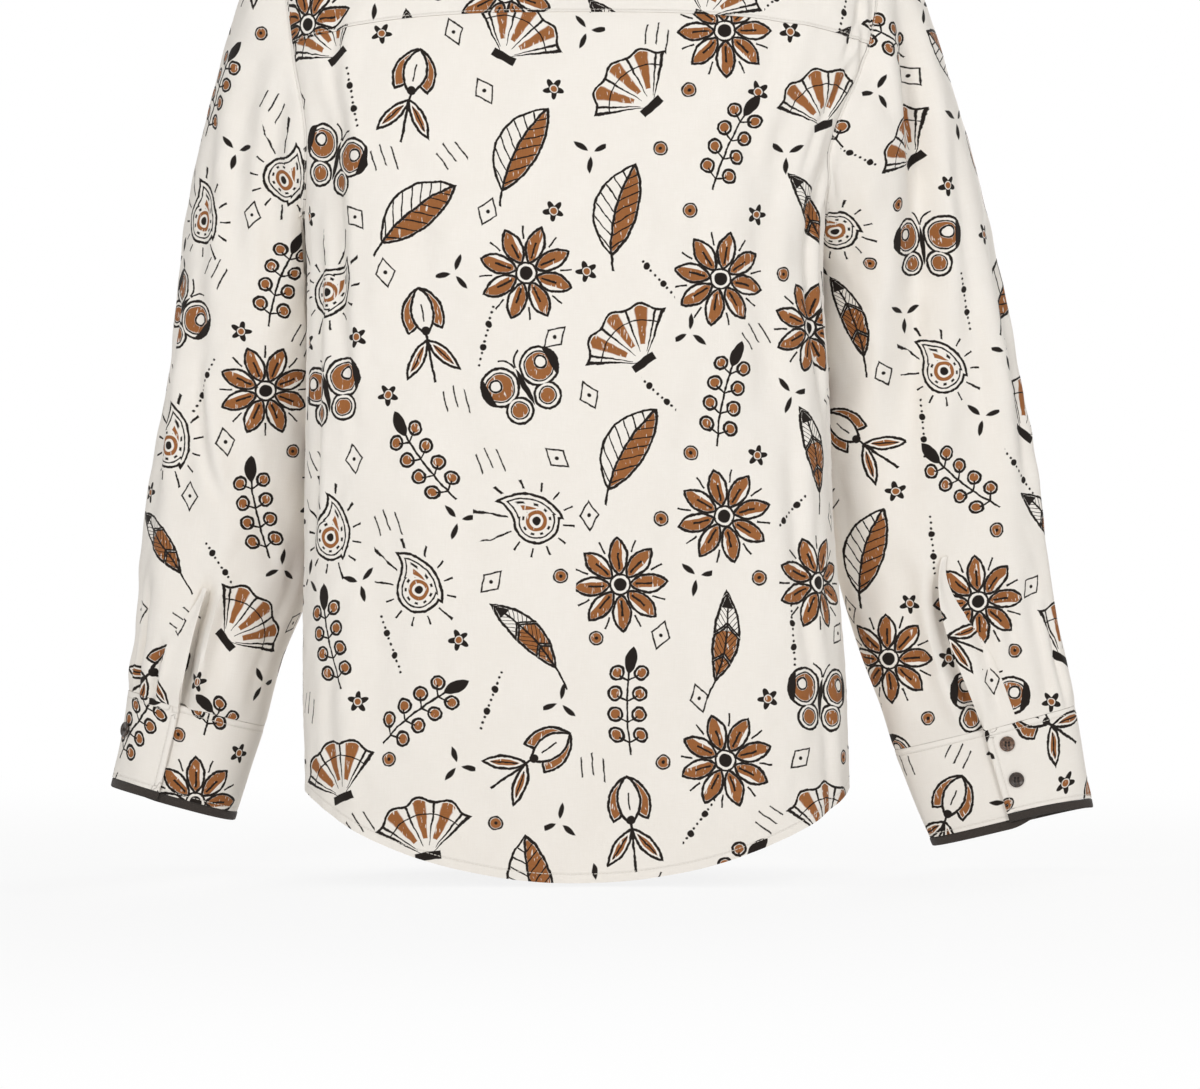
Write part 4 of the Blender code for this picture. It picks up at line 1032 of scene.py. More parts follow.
# of each cut piece: length and number of its rows and columns, or just their number along an armhole, then where its
# print starts, the seed of its waves, its flat size and its area
panels = {
    "back": {
        "lower": (0.418, 148), "upper": 84, "columns": (0.5, 178),
        "shift": (0.0, 0.0), "seed": 3, "flat": (0.530, 0.640), "area": 0.274,
    },
    "front": {
        "lower": (0.418, 148), "upper": 62, "shoulder": (0.12, 34), "columns": (0.26, 88),
        "left": {"shift": (0.031, 0.057), "seed": 21, "flat": (0.275, 0.760), "area": 0.168},
        "right": {"shift": (-0.019, 0.143), "seed": 27, "flat": (0.300, 0.760), "area": 0.185},
    },
    "yoke": {
        "shoulder": (0.16, 46), "front": 8, "back": 34, "columns": 150,
        "shift": (0.233, 0.415), "seed": 11, "flat": (0.470, 0.230), "area": 0.071,
    },
    "waves": (0.055, 0.019),
}


def panelLevels(edgeLevels, pull):  # the edge's own levels where pull is 1, evenly spaced ones where it is 0
    even = evenly(edgeLevels[0], edgeLevels[-1], len(edgeLevels) - 1)[:, None]
    return even + (edgeLevels[:, None] - even) * pull


def hang(turn, level, topLevel=None):  # bends the rows, so that the lowest follows the hem and the highest the seam
    low, high = level[0, 0], level[-1, 0]
    climb = (level - low) / (high - low)
    level = level + (hemHeight(turn[0]) - low) * (1.0 - climb)
    if topLevel is not None:
        level = level + (topLevel(turn[-1]) - high) * climb
    return level


def lowerLevels(size):  # closer together just above the hem
    return hem["side"] + (armholeOval["bottom"] - hem["side"]) * counted(size)[:-1]


def bodyPanel(name, node, turn, level, seams, stitch, values, upright, lift=None):
    # A piece of the body from its grid of turns and levels: laid flat for its print, waved and drawn in at its seams.
    points, normal = bodyAt(turn, level), bodyNormal(turn, level)
    if node == "back_yoke":
        place = np.stack([-points[..., 0], points[..., 2] - points[..., 1]], axis=-1)
    else:
        across = lengths(points, 1) * np.sign(turn[0, -1] - turn[0, 0])
        up = lengths(points, 0) + points[0, :, 2] - points[0, upright, 2]
        place = np.stack([across - across[:, [upright]], up], axis=-1)
    place = laidFlat(points, place, upright)
    grain = grainOf(place[..., 0], place[..., 1], values["seed"], *panels["waves"])
    grain = grain * clearOfSleeve(turn, level) * awayFromSeams(points, [seam for seam, _ in seams])
    points = drawnIn(points + normal * grain[..., None], normal, seams, values["seed"])
    if lift is not None:
        points = points + normal * lift(points)[..., None]
    sewing = sewingMap(points, [("bottom", stitch)])
    piece = addCloth(name, points, normal, cloth["single"], place + np.array(values["shift"]), sewing)
    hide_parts(node)


def buildBack():  # side seams and armholes are its left and right edges, and its columns run evenly between them
    values, gap, pull = panels["back"], cloth["seamGap"] / 2.0, cloth["seamPull"]
    turns, levels = armhole("left", evenly(backCorner, 180.0, values["upper"])[::-1], gap)
    lower = lowerLevels(values["lower"])
    edge = np.concatenate([np.zeros(len(lower)), turns]) + math.degrees(gap / body["shoulderRadius"])
    share = counted(values["columns"])
    byEdge = (1.0 - 2.0 * share) * np.abs(1.0 - 2.0 * share)
    turn = 180.0 * share + edge[:, None] * byEdge
    level = panelLevels(np.concatenate([lower, levels]), np.abs(byEdge))
    level = hang(turn, level, lambda t: levelAt(t, yokeHeight(t)) - gap)
    seams = [("left", pull), ("right", pull), ("top", pull)]
    bodyPanel("backPanel", "back", turn, level, seams, hem["fold"], values, len(share) // 2)


def buildYoke():  # its rows climb from the armholes and the seams in front and behind to the neck
    values, gap, pull = panels["yoke"], cloth["seamGap"] / 2.0, cloth["seamPull"]
    front = evenly(frontCorner, 360.0, values["front"], last=False)
    cap = np.concatenate([front, evenly(0.0, backCorner, values["back"])])
    leftTurn, leftLevel = armhole("left", cap, gap)
    leftTurn[0] += math.degrees(gap / body["shoulderRadius"])
    rightTurn, rightLevel = armhole("right", cap[::-1], gap)
    rightTurn[-1] -= math.degrees(gap / body["shoulderRadius"])
    seam = evenly(leftTurn[-1], rightTurn[0], values["columns"])
    turn = np.concatenate([leftTurn[:-1], seam, rightTurn[1:]])
    outer = np.concatenate([leftLevel[:-1], levelAt(seam, yokeHeight(seam)) + gap, rightLevel[1:]])
    climb = counted(values["shoulder"])[:, None]
    level = outer + (body["neckLevel"] - outer) * climb
    turn = np.broadcast_to(turn, level.shape)
    seams = [("bottom", pull * yoke["seamShare"]), ("left", pull), ("right", pull)]

    def raised(points):
        return yoke["lift"] * np.exp(-((lengths(points, 0) / yoke["liftWidth"]) ** 2))

    middle = turn.shape[1] // 2
    bodyPanel("yokePanel", "back_yoke", turn, level, seams, yoke["stitch"], values, middle, raised)


def centreFront(level, across):  # the turn at a distance from the middle of the front
    centreX, _, halfWidth = readRows(body["rows"], level)[:3]
    return np.degrees((across - centreX) / (halfWidth * (1.0 + body["squareness"]))) - 90.0


band = {
    "halfWidth": 0.016, "belowNeck": 0.008, "underlap": 0.0025, "stitch": 0.0050, "clear": 0.0002,
    "rows": 250, "width": 0.0345, "step": 0.0026, "edgeRow": 0.0004,
    "shift": (0.337, -0.211), "flat": (0.0346, 0.720),
}


def buildFront(side):  # from the side seam, armhole and yoke's front seam to the middle of the front
    values, gap = panels["front"], cloth["seamGap"] / 2.0
    armTurns, armLevels = armhole("left", evenly(180.0, frontCorner, values["upper"]), gap)
    lower = lowerLevels(values["lower"])
    climb = counted(values["shoulder"])[1:]
    seamLevels = armLevels[-1] + (body["neckLevel"] - armLevels[-1]) * climb
    edge = np.concatenate([np.zeros(len(lower)), armTurns, np.full(len(climb), armTurns[-1])])
    edge = edge - math.degrees(gap / body["radius"])
    share = counted(values["columns"])
    byEdge = (1.0 - share) ** 2
    level = panelLevels(np.concatenate([lower, armLevels, seamLevels]), byEdge)
    level = hang(-90.0 * share[None, :], level)
    start = 0.0 if side == "left" else -180.0
    middle = centreFront(level, band["halfWidth"] + sign[side] * gap)
    turn = start + (middle - start) * share + sign[side] * edge[:, None] * byEdge
    name, node, seams = f"frontPanel{side.title()}", f"front_{side}", [("left", cloth["seamPull"])]
    bodyPanel(name, node, turn % 360.0, level, seams, hem["fold"], values[side], len(share) - 1)
    return level[:, -1]


def buildBand(frontLevels):  # a strip on the middle of the front, from the hem to below the neck
    top = body["neckLevel"] - band["belowNeck"]
    levels = np.append(np.linspace(frontLevels[0], frontLevels[-1], band["rows"])[:-1], top)
    levels[1] = levels[0] + band["edgeRow"]
    wide = 2.0 * band["halfWidth"] + band["underlap"]
    across = -band["halfWidth"] + wide * stations(band["width"], band["step"])
    level = np.broadcast_to(levels[:, None], (len(levels), len(across)))
    turn = centreFront(level, across[None, :])
    out = cloth["cadDouble"] + cloth["laidGap"] + band["clear"]
    points, normal = bodyAt(turn % 360.0, level, out), bodyNormal(turn, level)
    points, thickness = roundedEdges(points, normal, cloth["double"], ("left", "right", "bottom"))
    sewing = sewingMap(points, [("left", band["stitch"]), ("right", band["stitch"]), ("bottom", hem["fold"])])
    piece = addCloth("buttonBand", points, normal, thickness, lengthMap(points, band["shift"]), sewing)
    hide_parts("front_band")


collar = {
    "standHeight": 0.030, "standLap": 0.012, "stepStart": 20.0, "stepTurn": 50.0,
    "neckHalfWidth": 0.084, "lean": 0.18, "roll": 0.011, "pull": 0.017, "lift": 0.005,
    "tipStart": 0.52, "gap": 0.012, "back": 0.038, "point": 0.096, "spread": 8.0,
    "stitch": 0.0055, "columns": (0.46, 190), "rows": (0.075, 40), "waves": 0.0004, "seed": 41,
    "standLength": 0.48, "standStep": 0.0026, "standRise": 0.029, "standRow": 0.0024,
    "standStitches": (("left", 0.004), ("right", 0.004), ("top", 0.0045), ("bottom", 0.0030)),
    "stand": {"shift": (0.613, 0.095), "flat": (0.470, 0.031)},
    "leaf": {"shift": (0.149, 0.702), "flat": (0.470, 0.118), "area": 0.043},
}
allEdges = ("left", "right", "top", "bottom")


def neckPoint(turn, rise, out=0.0):  # the neck's ring, moved out, up and a little in as it rises
    ring = bodyForm(turn, body["neckLevel"])
    away = unit(ring * (1.0, 1.0, 0.0)) * np.asarray(out - collar["lean"] * rise)[..., None]
    return ring + away + rise[..., None] * np.array((0.0, 0.0, 1.0))


def standStep(turn):  # the left end steps out over the right one
    return ease((-turn - collar["stepStart"]) / collar["stepTurn"]) * (cloth["cadDouble"] + cloth["laidGap"])


def buildCollar():  # the stand is a ring that leans in as it rises, and laps in front
    halfLap = math.degrees(collar["standLap"] / collar["neckHalfWidth"])
    around = stations(collar["standLength"], collar["standStep"])
    turn = -90.0 - halfLap + (360.0 + 2.0 * halfLap) * around
    up = stations(collar["standRise"], collar["standRow"])[:, None]
    rise = cloth["neckGap"] + (collar["standHeight"] - cloth["neckGap"]) * up
    face = neckPoint(turn[None, :], rise, standStep(turn)[None, :])
    normal = gridNormal(face, face * (0.0, 0.0, 1.0))
    face, thickness = roundedEdges(face, normal, cloth["double"], allEdges)
    sewing = sewingMap(face, collar["standStitches"])
    place = lengthMap(face, collar["stand"]["shift"])
    stand = addCloth("collarStand", face, normal, thickness, place, sewing)
    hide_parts("collar_stand")

    # the fall is a square curve from the stand's top over the roll to its lower edge, which drops to the points
    reach = 180.0 - math.degrees(collar["gap"] / collar["neckHalfWidth"])
    turn = 90.0 - reach + 2.0 * reach * counted(collar["columns"])
    side = (turn - 90.0) / (turn[-1] - 90.0)
    tip = np.clip((np.abs(side) - collar["tipStart"]) / (1.0 - collar["tipStart"]), 0.0, 1.0) ** 2
    lowTurn = turn - np.sign(side) * collar["spread"] * tip
    lowLevel = body["neckLevel"] - collar["back"] - collar["point"] * tip
    ring = neckPoint(turn, np.full(turn.shape, collar["standHeight"]), standStep(turn))
    away = unit(ring * (1.0, 1.0, 0.0))
    up = unit(np.cross(away, np.gradient(ring, axis=0)))
    ring = ring + up * (cloth["cadDouble"] + cloth["neckGap"])
    pull = ring + away * collar["pull"] + up * collar["roll"]
    end = bodyAt(lowTurn, lowLevel, collar["lift"], creased=0.0)
    t = counted(collar["rows"])[:, None, None]
    face = (1.0 - t) ** 2 * ring + 2.0 * t * (1.0 - t) * pull + t**2 * end
    normal = gridNormal(face, face * (0.0, 0.0, 1.0))
    soft = unevenness(lengths(face, 1), lengths(face, 0), collar["seed"], 0.07) * collar["waves"]
    face = face + normal * (soft * np.sin(math.pi * t[..., 0]))[..., None]
    face, thickness = roundedEdges(face, normal, cloth["double"], allEdges)
    across, middle = lengths(face, 1), len(turn) // 2
    place = np.stack([across - across[:, [middle]], -lengths(face, 0)], axis=-1)
    place = laidFlat(face, place, middle) + collar["leaf"]["shift"]
    sewing = sewingMap(face, [(edge, collar["stitch"]) for edge in ("left", "right", "top")])
    leaf = addCloth("collarLeaf", face, normal, thickness, place, sewing)
    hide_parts("collar_leaf")


cuffs = {
    # where the cuff starts and ends down the sleeve, the turn of its upper end, and that end's lift
    "left": {
        "top": 0.634, "bottom": 0.6992, "edge": 79.0, "lift": 0.001,
        "shift": (0.052, 0.331), "flat": (0.318, 0.067),
    },
    "right": {
        "top": 0.649, "bottom": 0.7170, "edge": 92.0, "lift": 0.005,
        "shift": (0.540, 0.452), "flat": (0.352, 0.070),
    },
    "lap": 36.0, "climbStart": 270.0, "ease": 0.0008, "raised": 0.0016, "flare": 0.040,
    "length": 0.31, "step": 0.0026, "rowStep": 0.0024, "tight": (0.0003, 0.0008),
    "overStart": 300.0, "overTurn": 90.0, "raiseStart": 352.0, "waves": 0.00035, "seed": 61,
    "stitches": (("left", 0.005), ("right", 0.005), ("bottom", 0.0045), ("top", 0.003)),
    "trim": 0.0065, "trimCut": 0.0102, "trimThickness": 0.0023, "trimStep": 0.0012,
}
# of each sleeve: where its print starts, its flat size and area
sleeveCut = {
    "left": {"shift": (0.442, 0.118), "flat": (0.430, 0.600), "area": 0.176},
    "right": {"shift": (0.781, -0.074), "flat": (0.460, 0.600), "area": 0.194},
    "seed": 51, "waves": (0.050, 0.018), "step": 0.0028, "capLength": 0.13, "length": 0.33, "stitch": 0.0016,
    "creaseFade": 0.030,  # how far from the armhole the creases are whole
    "besideTurn": 7.0, "besideShare": 0.3,  # share of the cuff's step that the sleeve keeps beside the opening
}
openings = {
    # where it starts; how its edge strays from the cuff's: lean at the top, its power, and bulge in the middle
    "left": {"top": 0.545, "lean": 4.0, "power": 1.0, "bulge": 0.0, "flat": (0.021, 0.092)},
    "right": {"top": 0.520, "lean": -1.5, "power": 4.0, "bulge": 5.8, "flat": (0.021, 0.132)},
    "width": 20.0, "topWidth": 3.0, "thin": 0.0001, "clear": 0.00008, "gape": 0.0034,
    "across": 0.020, "step": 0.0016, "length": 0.09, "rowStep": 0.0024,
}
# the dip beside each opening, as a crease
openingDip = {
    "left": ((82, 588, 62, -45, 0, 4.6, 8),),
    "right": ((98, 588, 72, 0, -7, 4.8, 6),),
}


def cuffClimb(run):  # how far the cuff stands off the sleeve, by degrees from its lower end: it climbs over its start
    climb = ease((run - cuffs["climbStart"]) / (360.0 - cuffs["lap"] / 2.0 - cuffs["climbStart"]))
    return cuffs["ease"] + (cloth["cadDouble"] + cloth["laidGap"]) * climb


def sleeveFlare(side, turn, fall):  # the sleeve fills out to meet its cuff
    run = (turn - cuffs[side]["edge"]) % 360.0 + cuffs["lap"]
    return cuffClimb(run) * ease((fall - cuffs[side]["top"] + cuffs["flare"]) / cuffs["flare"])


def buildSleeve(side):  # the cap's paths and the rings below it as one grid, from the armhole to the cuff
    sizes, cut, radius = cuffs[side], sleeveCut[side], sleeves["radius"]
    runs = zip((-180.0, 0.0, backCorner), (0.0, backCorner, 180.0), sleeves["columns"])
    turn = np.concatenate([evenly(*run, last=False) for run in runs])[None, :]
    cap = sleeveCap(side, turn, stations(sleeveCut["capLength"], sleeveCut["step"])[:-1, None])
    long = sizes["top"] - cloth["seamGap"] - sleeves["top"]
    falls = sleeves["top"] + long * stations(sleeveCut["length"], sleeveCut["step"])[:, None]
    beside = ease(((sizes["edge"] - turn) % 360.0) / sleeveCut["besideTurn"])
    beside = sleeveCut["besideShare"] + (1.0 - sleeveCut["besideShare"]) * beside
    tube = sleeveAt(side, turn, falls, sleeveFlare(side, turn, falls) * beside, 0.0)
    face = np.concatenate([cap, tube])
    normal = gridNormal(face, face.mean(axis=1, keepdims=True), around=True)
    down, first = lengths(face, 0), len(cap)
    onTube = np.broadcast_to(falls, (len(falls), turn.size))
    fall = np.concatenate([sleeves["top"] - (down[first] - down[:first]), onTube])
    creases = creaseDepth(sleeveCreases[side], turn, fall, radius) * ease(down / sleeveCut["creaseFade"])
    creases = creases + creaseDepth(openingDip[side], turn, fall, radius)

    # waves and creases fade out at both seams and where the sleeve lies against the body
    outer = sleeves["columns"][0]
    around = lengths(closed(face), 1)
    around[:first] = around[first]
    around = around - around[:, [outer]]
    grain = grainOf(around[:, :-1], fall, sleeveCut["seed"], *sleeveCut["waves"])
    grain = grain * ease(down / cloth["seamFade"]) * ease((down[-1:] - down) / cloth["seamFade"])
    away = ease((sleeves["clearTurn"] - np.abs(turn)) / sleeves["clearFade"])
    face = face + normal * ((grain - creases) * away)[..., None]
    face = drawnIn(face, normal, [("bottom", 0.0), ("top", cloth["seamPull"])], 5)

    place = laidFlat(closed(face), np.stack([around * sign[side], -closed(fall)], axis=-1), outer) + cut["shift"]
    sewing = sewingMap(closed(face), [("bottom", sleeveCut["stitch"])])
    piece = addCloth(f"sleeve{side.title()}", face, normal, cloth["single"], place, sewing, around=True)
    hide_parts(f"sleeve_{side}")


def buildOpeningEdge(side):
    # The lapped fold of the sleeve's opening. Its free edge stands off the sleeve and its far side thins away on it.
    sizes, values, thinnest = cuffs[side], openings[side], openings["thin"]
    share = stations(openings["across"], openings["step"], cuffs["tight"])[None, :]
    down = stations(openings["length"], openings["rowStep"])[:, None]
    fall = values["top"] + (sizes["top"] - cloth["seamGap"] - values["top"]) * down
    width = openings["topWidth"] + (openings["width"] - openings["topWidth"]) * ease(1.5 * down)
    edge = sizes["edge"] + values["lean"] * (1.0 - down) ** values["power"]
    turn = edge + values["bulge"] * np.sin(math.pi * down**0.7) - width * share
    thin = thinnest + (cloth["single"] - thinnest) * ease(2.2 * (1.0 - share)) * np.ones_like(down)
    gape = openings["gape"] * ease(1.0 - share * 1.6) * ease(down * 8.0) * (1.0 - 0.5 * down)
    points = sleeveAt(side, turn, fall, openings["clear"] + thin + gape + sleeveFlare(side, turn, fall))
    normal = gridNormal(points, sleeveAt(side, turn, fall, -0.01))
    place = lengthMap(points, sleeveCut[side]["shift"], -1.0)
    piece = addCloth(f"openingEdge{side.title()}", points, normal, thin, place, sewingMap(points, []))
    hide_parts(f"sleeve_placket_{side}")


def cuffFace(side, falls):  # once round the wrist and over its own start; both ends are a little higher
    sizes, lap = cuffs[side], cuffs["lap"]
    run = (360.0 + lap) * stations(cuffs["length"], cuffs["step"])[None, :]
    turn = sizes["edge"] - lap + run
    share = (falls - sizes["top"]) / (sizes["bottom"] - sizes["top"])
    over, under = ease((run - cuffs["overStart"]) / cuffs["overTurn"]), ease(1.5 * (lap - run) / lap)
    fall = falls[:, None] - sizes["lift"] * (over + under) * share[:, None]
    raised = cuffs["raised"] * ease((run - cuffs["raiseStart"]) / (360.0 + lap - cuffs["raiseStart"]))
    return sleeveAt(side, turn, fall, cuffClimb(run) + raised, 0.0)


def buildCuff(side):  # a band once round the wrist and over its own start, and the dark trim along its edge
    sizes, title = cuffs[side], side.title()
    low, high = sizes["top"], sizes["bottom"]
    face = cuffFace(side, low + (high - low) * stations(high - low, cuffs["rowStep"], cuffs["tight"]))
    normal = gridNormal(face, face.mean(axis=1, keepdims=True))
    face = drawnIn(face, normal, [("bottom", 0.0005), ("top", 0.0003)], 9)
    waves = unevenness(lengths(face, 1), lengths(face, 0), cuffs["seed"], 0.035)
    face = face + normal * (cuffs["waves"] * waves)[..., None]
    face, thickness = roundedEdges(face, normal, cloth["double"], ("left", "right"))
    sewing = sewingMap(face, cuffs["stitches"])
    piece = addCloth(f"cuff{title}", face, normal, thickness, lengthMap(face, sizes["shift"], -1.0), sewing)
    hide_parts(f"cuff_{side}")

    low, high = high + cloth["seamGap"], high + cloth["seamGap"] + cuffs["trim"]
    face = cuffFace(side, low + (high - low) * stations(high - low, cuffs["trimStep"], cuffs["tight"]))
    normal = gridNormal(face, face.mean(axis=1, keepdims=True))
    face, thickness = roundedEdges(face, normal, cuffs["trimThickness"], allEdges)
    place, tapes = lengthMap(face, sizes["shift"], -1.0), (trimTape, trimTape)
    piece = addCloth(f"cuffTape{title}", face, normal, thickness, place, sewingMap(face, []), materials=tapes)
    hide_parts(f"cuff_trim_{side}")


buildBack()
buildYoke()
frontLevels = {side: buildFront(side) for side in sign}
buildBand(frontLevels["left"])
buildCollar()
for side in sign:
    buildSleeve(side)
    buildOpeningEdge(side)
    buildCuff(side)
print("cloth made")


buttons = {
    "front": 0.0110, "cuff": 0.0115, "thickness": 0.0024, "dish": 0.0006, "sides": 48,
    "threadOff": 0.00125, "strandOff": 0.00020, "strand": 0.00019, "arch": 0.00065,
    "edge": 0.0007, "strandPoints": 9, "sink": 0.0003,
    "count": 6, "top": -0.142, "pitch": 0.092,
    "holeLength": 0.0155, "holeWidth": 0.0022, "holeThread": 0.00035,
    # side, turn, fall and finish of the cuffs' buttons
    "onCuffs": (
        ("left", 28.0, 0.6620, darkHorn), ("right", 81.0, 0.6625, brownHorn), ("right", 81.0, 0.6895, darkHorn),
    ),
}


def stripFaces(low, high, sides):  # quads between two rings of points, given by their first numbers
    n = np.arange(sides)
    m = (n + 1) % sides
    return np.stack([low + n, low + m, high + m, high + n], axis=1).tolist()


def lathe(profile, sides):  # rings of the profile's radius and height, closed by a point at each end
    turns = np.linspace(0.0, 2.0 * math.pi, sides, endpoint=False)
    rings = [np.stack([r * np.cos(turns), r * np.sin(turns), np.full(sides, h)], axis=1) for r, h in profile]
    points = np.concatenate([[(0.0, 0.0, profile[0][1])], *rings, [(0.0, 0.0, profile[-1][1])]])
    last = 1 + (len(profile) - 1) * sides
    n = np.arange(sides)
    m = (n + 1) % sides
    faces = np.stack([np.zeros(sides, int), 1 + m, 1 + n], axis=1).tolist()
    for low in range(1, last, sides):
        faces += stripFaces(low, low + sides, sides)
    return points, faces + np.stack([last + n, last + m, np.full(sides, len(points) - 1)], axis=1).tolist()


def sweep(path, radius, sides=6):  # a round tube along a path, with flat ends
    path = np.asarray(path, dtype=float)
    along = unit(np.gradient(path, axis=0))
    side = unit(np.cross(along, np.where(np.abs(along[:, 1:2]) > 0.9, (1.0, 0.0, 0.0), (0.0, 1.0, 0.0))))
    turns = np.linspace(0.0, 2.0 * math.pi, sides, endpoint=False)[None, :, None]
    rings = path[:, None] + radius * (np.cos(turns) * side[:, None] + np.sin(turns) * np.cross(along, side)[:, None])
    faces, last = [], (len(path) - 1) * sides
    for low in range(0, last, sides):
        faces += stripFaces(low, low + sides, sides)
    return rings.reshape(-1, 3), faces + [list(range(sides))[::-1], list(range(last, last + sides))]


def gathered(tubes):  # several tubes as the points and faces of one mesh
    points, faces, start = [], [], 0
    for some, more in tubes:
        points.append(some)
        faces += [[start + corner for corner in face] for face in more]
        start += len(some)
    return np.concatenate(points), faces


def addButton(name, node, place, normal, diameter, horn):
    # A turned disc with a round rim and a dished middle, and four strands of thread across it.
    radius, thick, edge = diameter / 2.0, buttons["thickness"], buttons["edge"]
    dish, off = thick - buttons["dish"], buttons["threadOff"]
    corner = [
        (radius - edge + edge * math.sin(turn), 0.0011 + 0.5 * (thick - 2.0 * edge) * (1.0 - math.cos(turn)))
        for turn in np.linspace(0.15 * math.pi, 0.85 * math.pi, 7)
    ]
    top = [(0.0010, thick), (0.0016, thick - 0.00012), (0.0021, dish + 0.00008), (0.0026, dish)]
    profile = [(radius * 0.80, 0.0)] + corner + [(radius - inward, height) for inward, height in top]
    points, faces = lathe(profile, buttons["sides"])
    up = unit(np.asarray(normal))
    side = unit(np.cross(up, (0.0, 0.0, 1.0)))
    turn = np.stack([side, np.cross(up, side), up])
    maps = {"place": np.concatenate([points[face][:, :2] for face in faces])}
    piece = addMesh(name, place + points @ turn, faces, maps, (horn,), sharp=40.0)
    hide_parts(node)
    strands, y = [], np.linspace(-off, off, buttons["strandPoints"])
    height = dish - buttons["sink"] + buttons["arch"] * np.sqrt(np.clip(1.0 - (y / off) ** 2, 0.0, 1.0))
    for x in (-off, off):
        for shift in (-buttons["strandOff"], buttons["strandOff"]):
            path = np.stack([np.full(len(y), x + shift), y, height], axis=1)
            strands.append(sweep(path, buttons["strand"]))
    points, faces = gathered(strands)
    maps = {"place": np.concatenate([points[face][:, :2] for face in faces])}
    thread = addMesh(name + "Thread", place + points @ turn, faces, maps, (darkThread,), sharp=60.0)


def addButtonholes(name, places):
    # Worked slits: an oval ring of thread round a narrow opening, laid on the cloth along the given direction.
    length, width = buttons["holeLength"], buttons["holeWidth"]
    rings, maps = [], []
    for place, along, normal in places:
        along, up = unit(np.asarray(along)), unit(np.asarray(normal))
        side = np.cross(up, along)
        turn = np.linspace(0.0, 2.0 * math.pi, 41)[:, None]
        path = place + along * (np.cos(turn) * (length - width) / 2.0) + side * (np.sin(turn) * width / 2.0)
        path[-1] = path[0]
        points, faces = sweep(path + up * 0.0001, buttons["holeThread"])
        maps += [np.stack([points[face] @ along, points[face] @ side], axis=1) for face in faces]
        rings.append((points, faces))
    points, faces = gathered(rings)
    piece = addMesh(name, points, faces, {"place": np.concatenate(maps)}, (paleThread,), sharp=60.0)


def buildButtons():  # six down the front with their holes, one on the stand, and those on the cuffs
    laid = cloth["laidGap"]
    out, holes = cloth["cadDouble"] + 2.0 * laid, []
    for number in range(buttons["count"]):
        height = buttons["top"] - buttons["pitch"] * number
        level = levelAt(-90.0, height)[0] if height > armholeOval["bottom"] else height
        turn = centreFront(level, 0.0)
        place, normal = bodyAt(turn % 360.0, level, out), bodyNormal(turn, level)
        name, node = f"frontButton{number + 1}", f"front_button_{number + 1}"
        addButton(name, node, place, normal, buttons["front"], darkHorn)
        along = bodyAt(turn % 360.0, level + 0.01) - bodyAt(turn % 360.0, level - 0.01)
        holes.append((bodyAt(turn % 360.0, level, out - 0.0001), along, normal))
    middle = np.array(collar["standHeight"] / 2.0)
    place = neckPoint(np.array(-90.0), middle, cloth["cadDouble"] + 3.0 * laid)
    addButton("collarButton", "collar_button", place, (0.0, -1.0, collar["lean"]), buttons["front"], darkHorn)
    addButtonholes("frontButtonholes", holes)
    count = {"left": 0, "right": 0}
    out = cuffs["ease"] + cloth["cadDouble"] + 3.0 * laid
    for side, turn, fall, horn in buttons["onCuffs"]:
        count[side] += 1
        turn, fall = np.array(turn), np.array(fall)
        place = sleeveAt(side, turn, fall, out, 0.0)
        normal = sleeveAt(side, turn, fall, out + buttons["thickness"], 0.0) - place
        name, node = f"cuffButton{side.title()}{count[side]}", f"cuff_button_{side}_{count[side]}"
        addButton(name, node, place, normal, buttons["cuff"], horn)


buildButtons()
print("buttons made")


studio = {
    "floor": -0.7570, "floorSize": 9.0, "floorColour": (0.86, 0.86, 0.86, 1.0), "floorShade": 0.86,
    "world": 0.48,
    # place, aim, size and watts of each lamp
    "lamps": (
        ((1.2, 3.5, 0.4), (0.0, 0.0, -0.50), 0.9, 45.0),
        ((-1.9, 3.1, 0.1), (0.0, 0.0, -0.55), 1.2, 25.0),
        ((-1.4, -3.3, 0.7), (0.0, 0.0, -0.40), 1.6, 74.0),
    ),
    "camera": (-0.017, 3.5, -0.5107), "lens": 141.75,
}


def seenRays(tree):  # 1 for rays from the camera, straight, mirrored or through a thing, and 0 for light
    paths = tree.nodes.new("ShaderNodeLightPath").outputs
    camera, mirrored, through = (Wire(tree, paths[f"Is {kind} Ray"]) for kind in ("Camera", "Glossy", "Transmission"))
    return most(camera, mirrored, through)


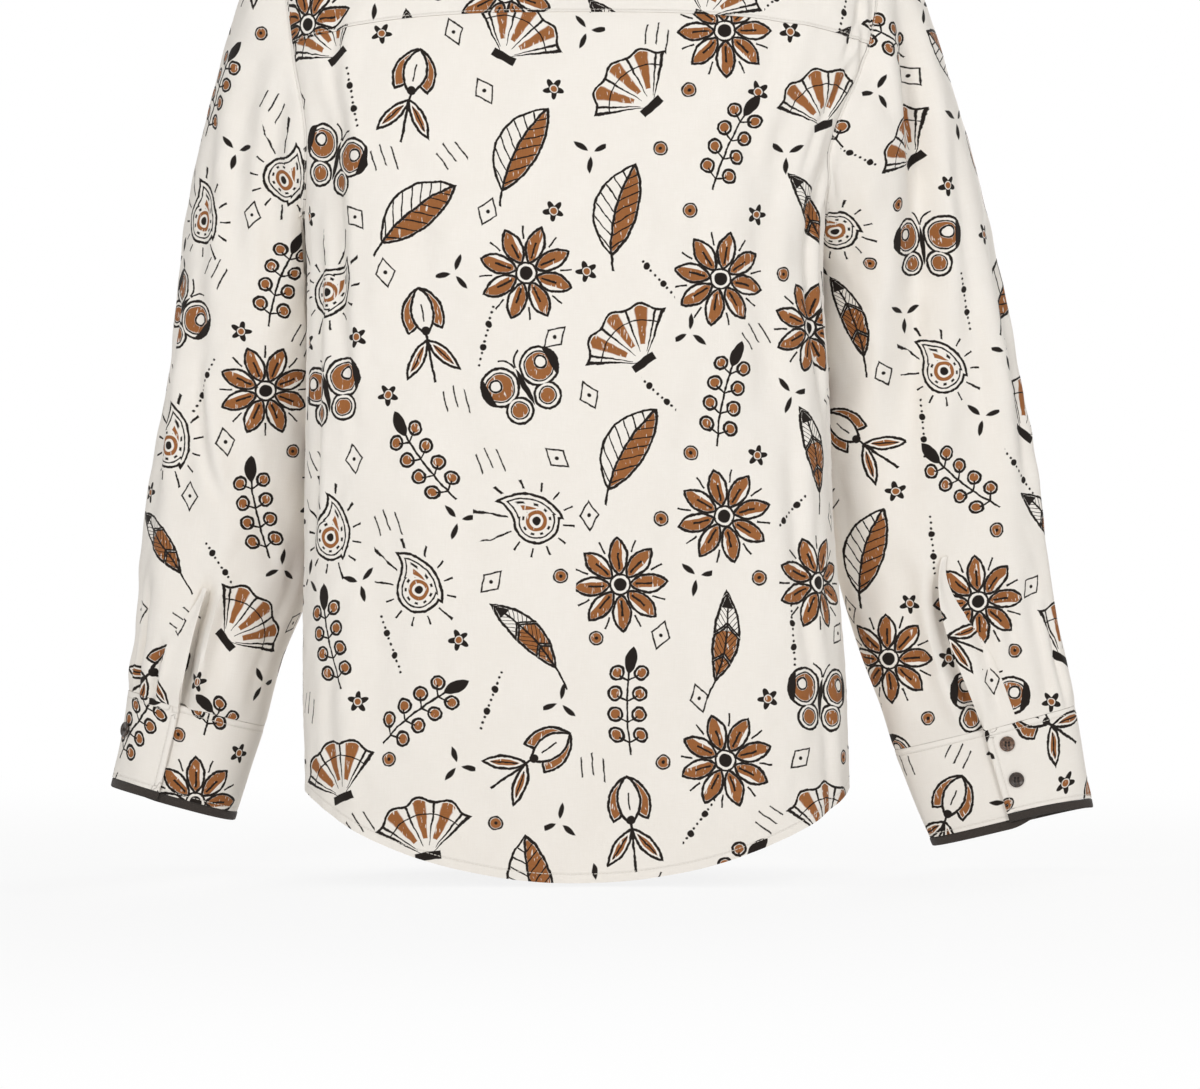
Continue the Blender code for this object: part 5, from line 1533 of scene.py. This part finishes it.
def buildStudio():  # a pale floor that looks lit from within, an even white world, three lamps and the camera
    size, z = studio["floorSize"], studio["floor"]
    mesh = bpy.data.meshes.new("floor")
    mesh.from_pydata([(-size, -size, z), (size, -size, z), (size, size, z), (-size, size, z)], [], [(0, 1, 2, 3)])
    floor = bpy.data.objects.new("floor", mesh)
    bpy.context.scene.collection.objects.link(floor)
    material, tree, shader = newMaterial("paleFloor", 0.9, specular=0.0)
    shader.inputs["Base Color"].default_value = studio["floorColour"]
    glow, mix = tree.nodes.new("ShaderNodeEmission"), tree.nodes.new("ShaderNodeMixShader")
    x, y, _ = apart(tree, Wire(tree, tree.nodes.new("ShaderNodeTexCoord").outputs["Object"]))
    share = ramp(far(x, y), 0.35, 1.6, studio["floorShade"], 1.0)
    joinUp(tree, seenRays(tree) * share, mix.inputs[0])
    surface = tree.nodes["Material Output"].inputs["Surface"]
    for source, target in ((shader, mix.inputs[1]), (glow, mix.inputs[2]), (mix, surface)):
        tree.links.new(source.outputs[0], target)
    mesh.materials.append(material)

    world = bpy.data.worlds.new("studio")
    bpy.context.scene.world = world
    world.use_nodes = True
    tree = world.node_tree
    back = tree.nodes["Background"]
    back.inputs["Color"].default_value = (1.0, 1.0, 1.0, 1.0)
    joinUp(tree, ramp(seenRays(tree), 0.0, 1.0, studio["world"], 1.0), back.inputs["Strength"])

    for number, (place, aim, width, watts) in enumerate(studio["lamps"]):
        lamp = bpy.data.lights.new(f"softbox{number + 1}", "AREA")
        lamp.shape, lamp.size, lamp.energy = "SQUARE", width, watts
        thing = bpy.data.objects.new(lamp.name, lamp)
        thing.location = place
        thing.rotation_euler = (Vector(aim) - Vector(place)).to_track_quat("-Z", "Y").to_euler()
        bpy.context.scene.collection.objects.link(thing)

    lens = bpy.data.cameras.new("camera")
    lens.sensor_fit, lens.sensor_width, lens.lens = "HORIZONTAL", 36.0, studio["lens"]
    lens.clip_start, lens.clip_end = 0.05, 60.0
    camera = bpy.data.objects.new("camera", lens)
    camera.location = studio["camera"]
    camera.rotation_euler = (math.radians(90.0), 0.0, math.radians(180.0))
    bpy.context.scene.collection.objects.link(camera)
    bpy.context.scene.camera = camera
    bpy.context.scene.view_settings.view_transform = "Standard"


buildStudio()
print("studio made")
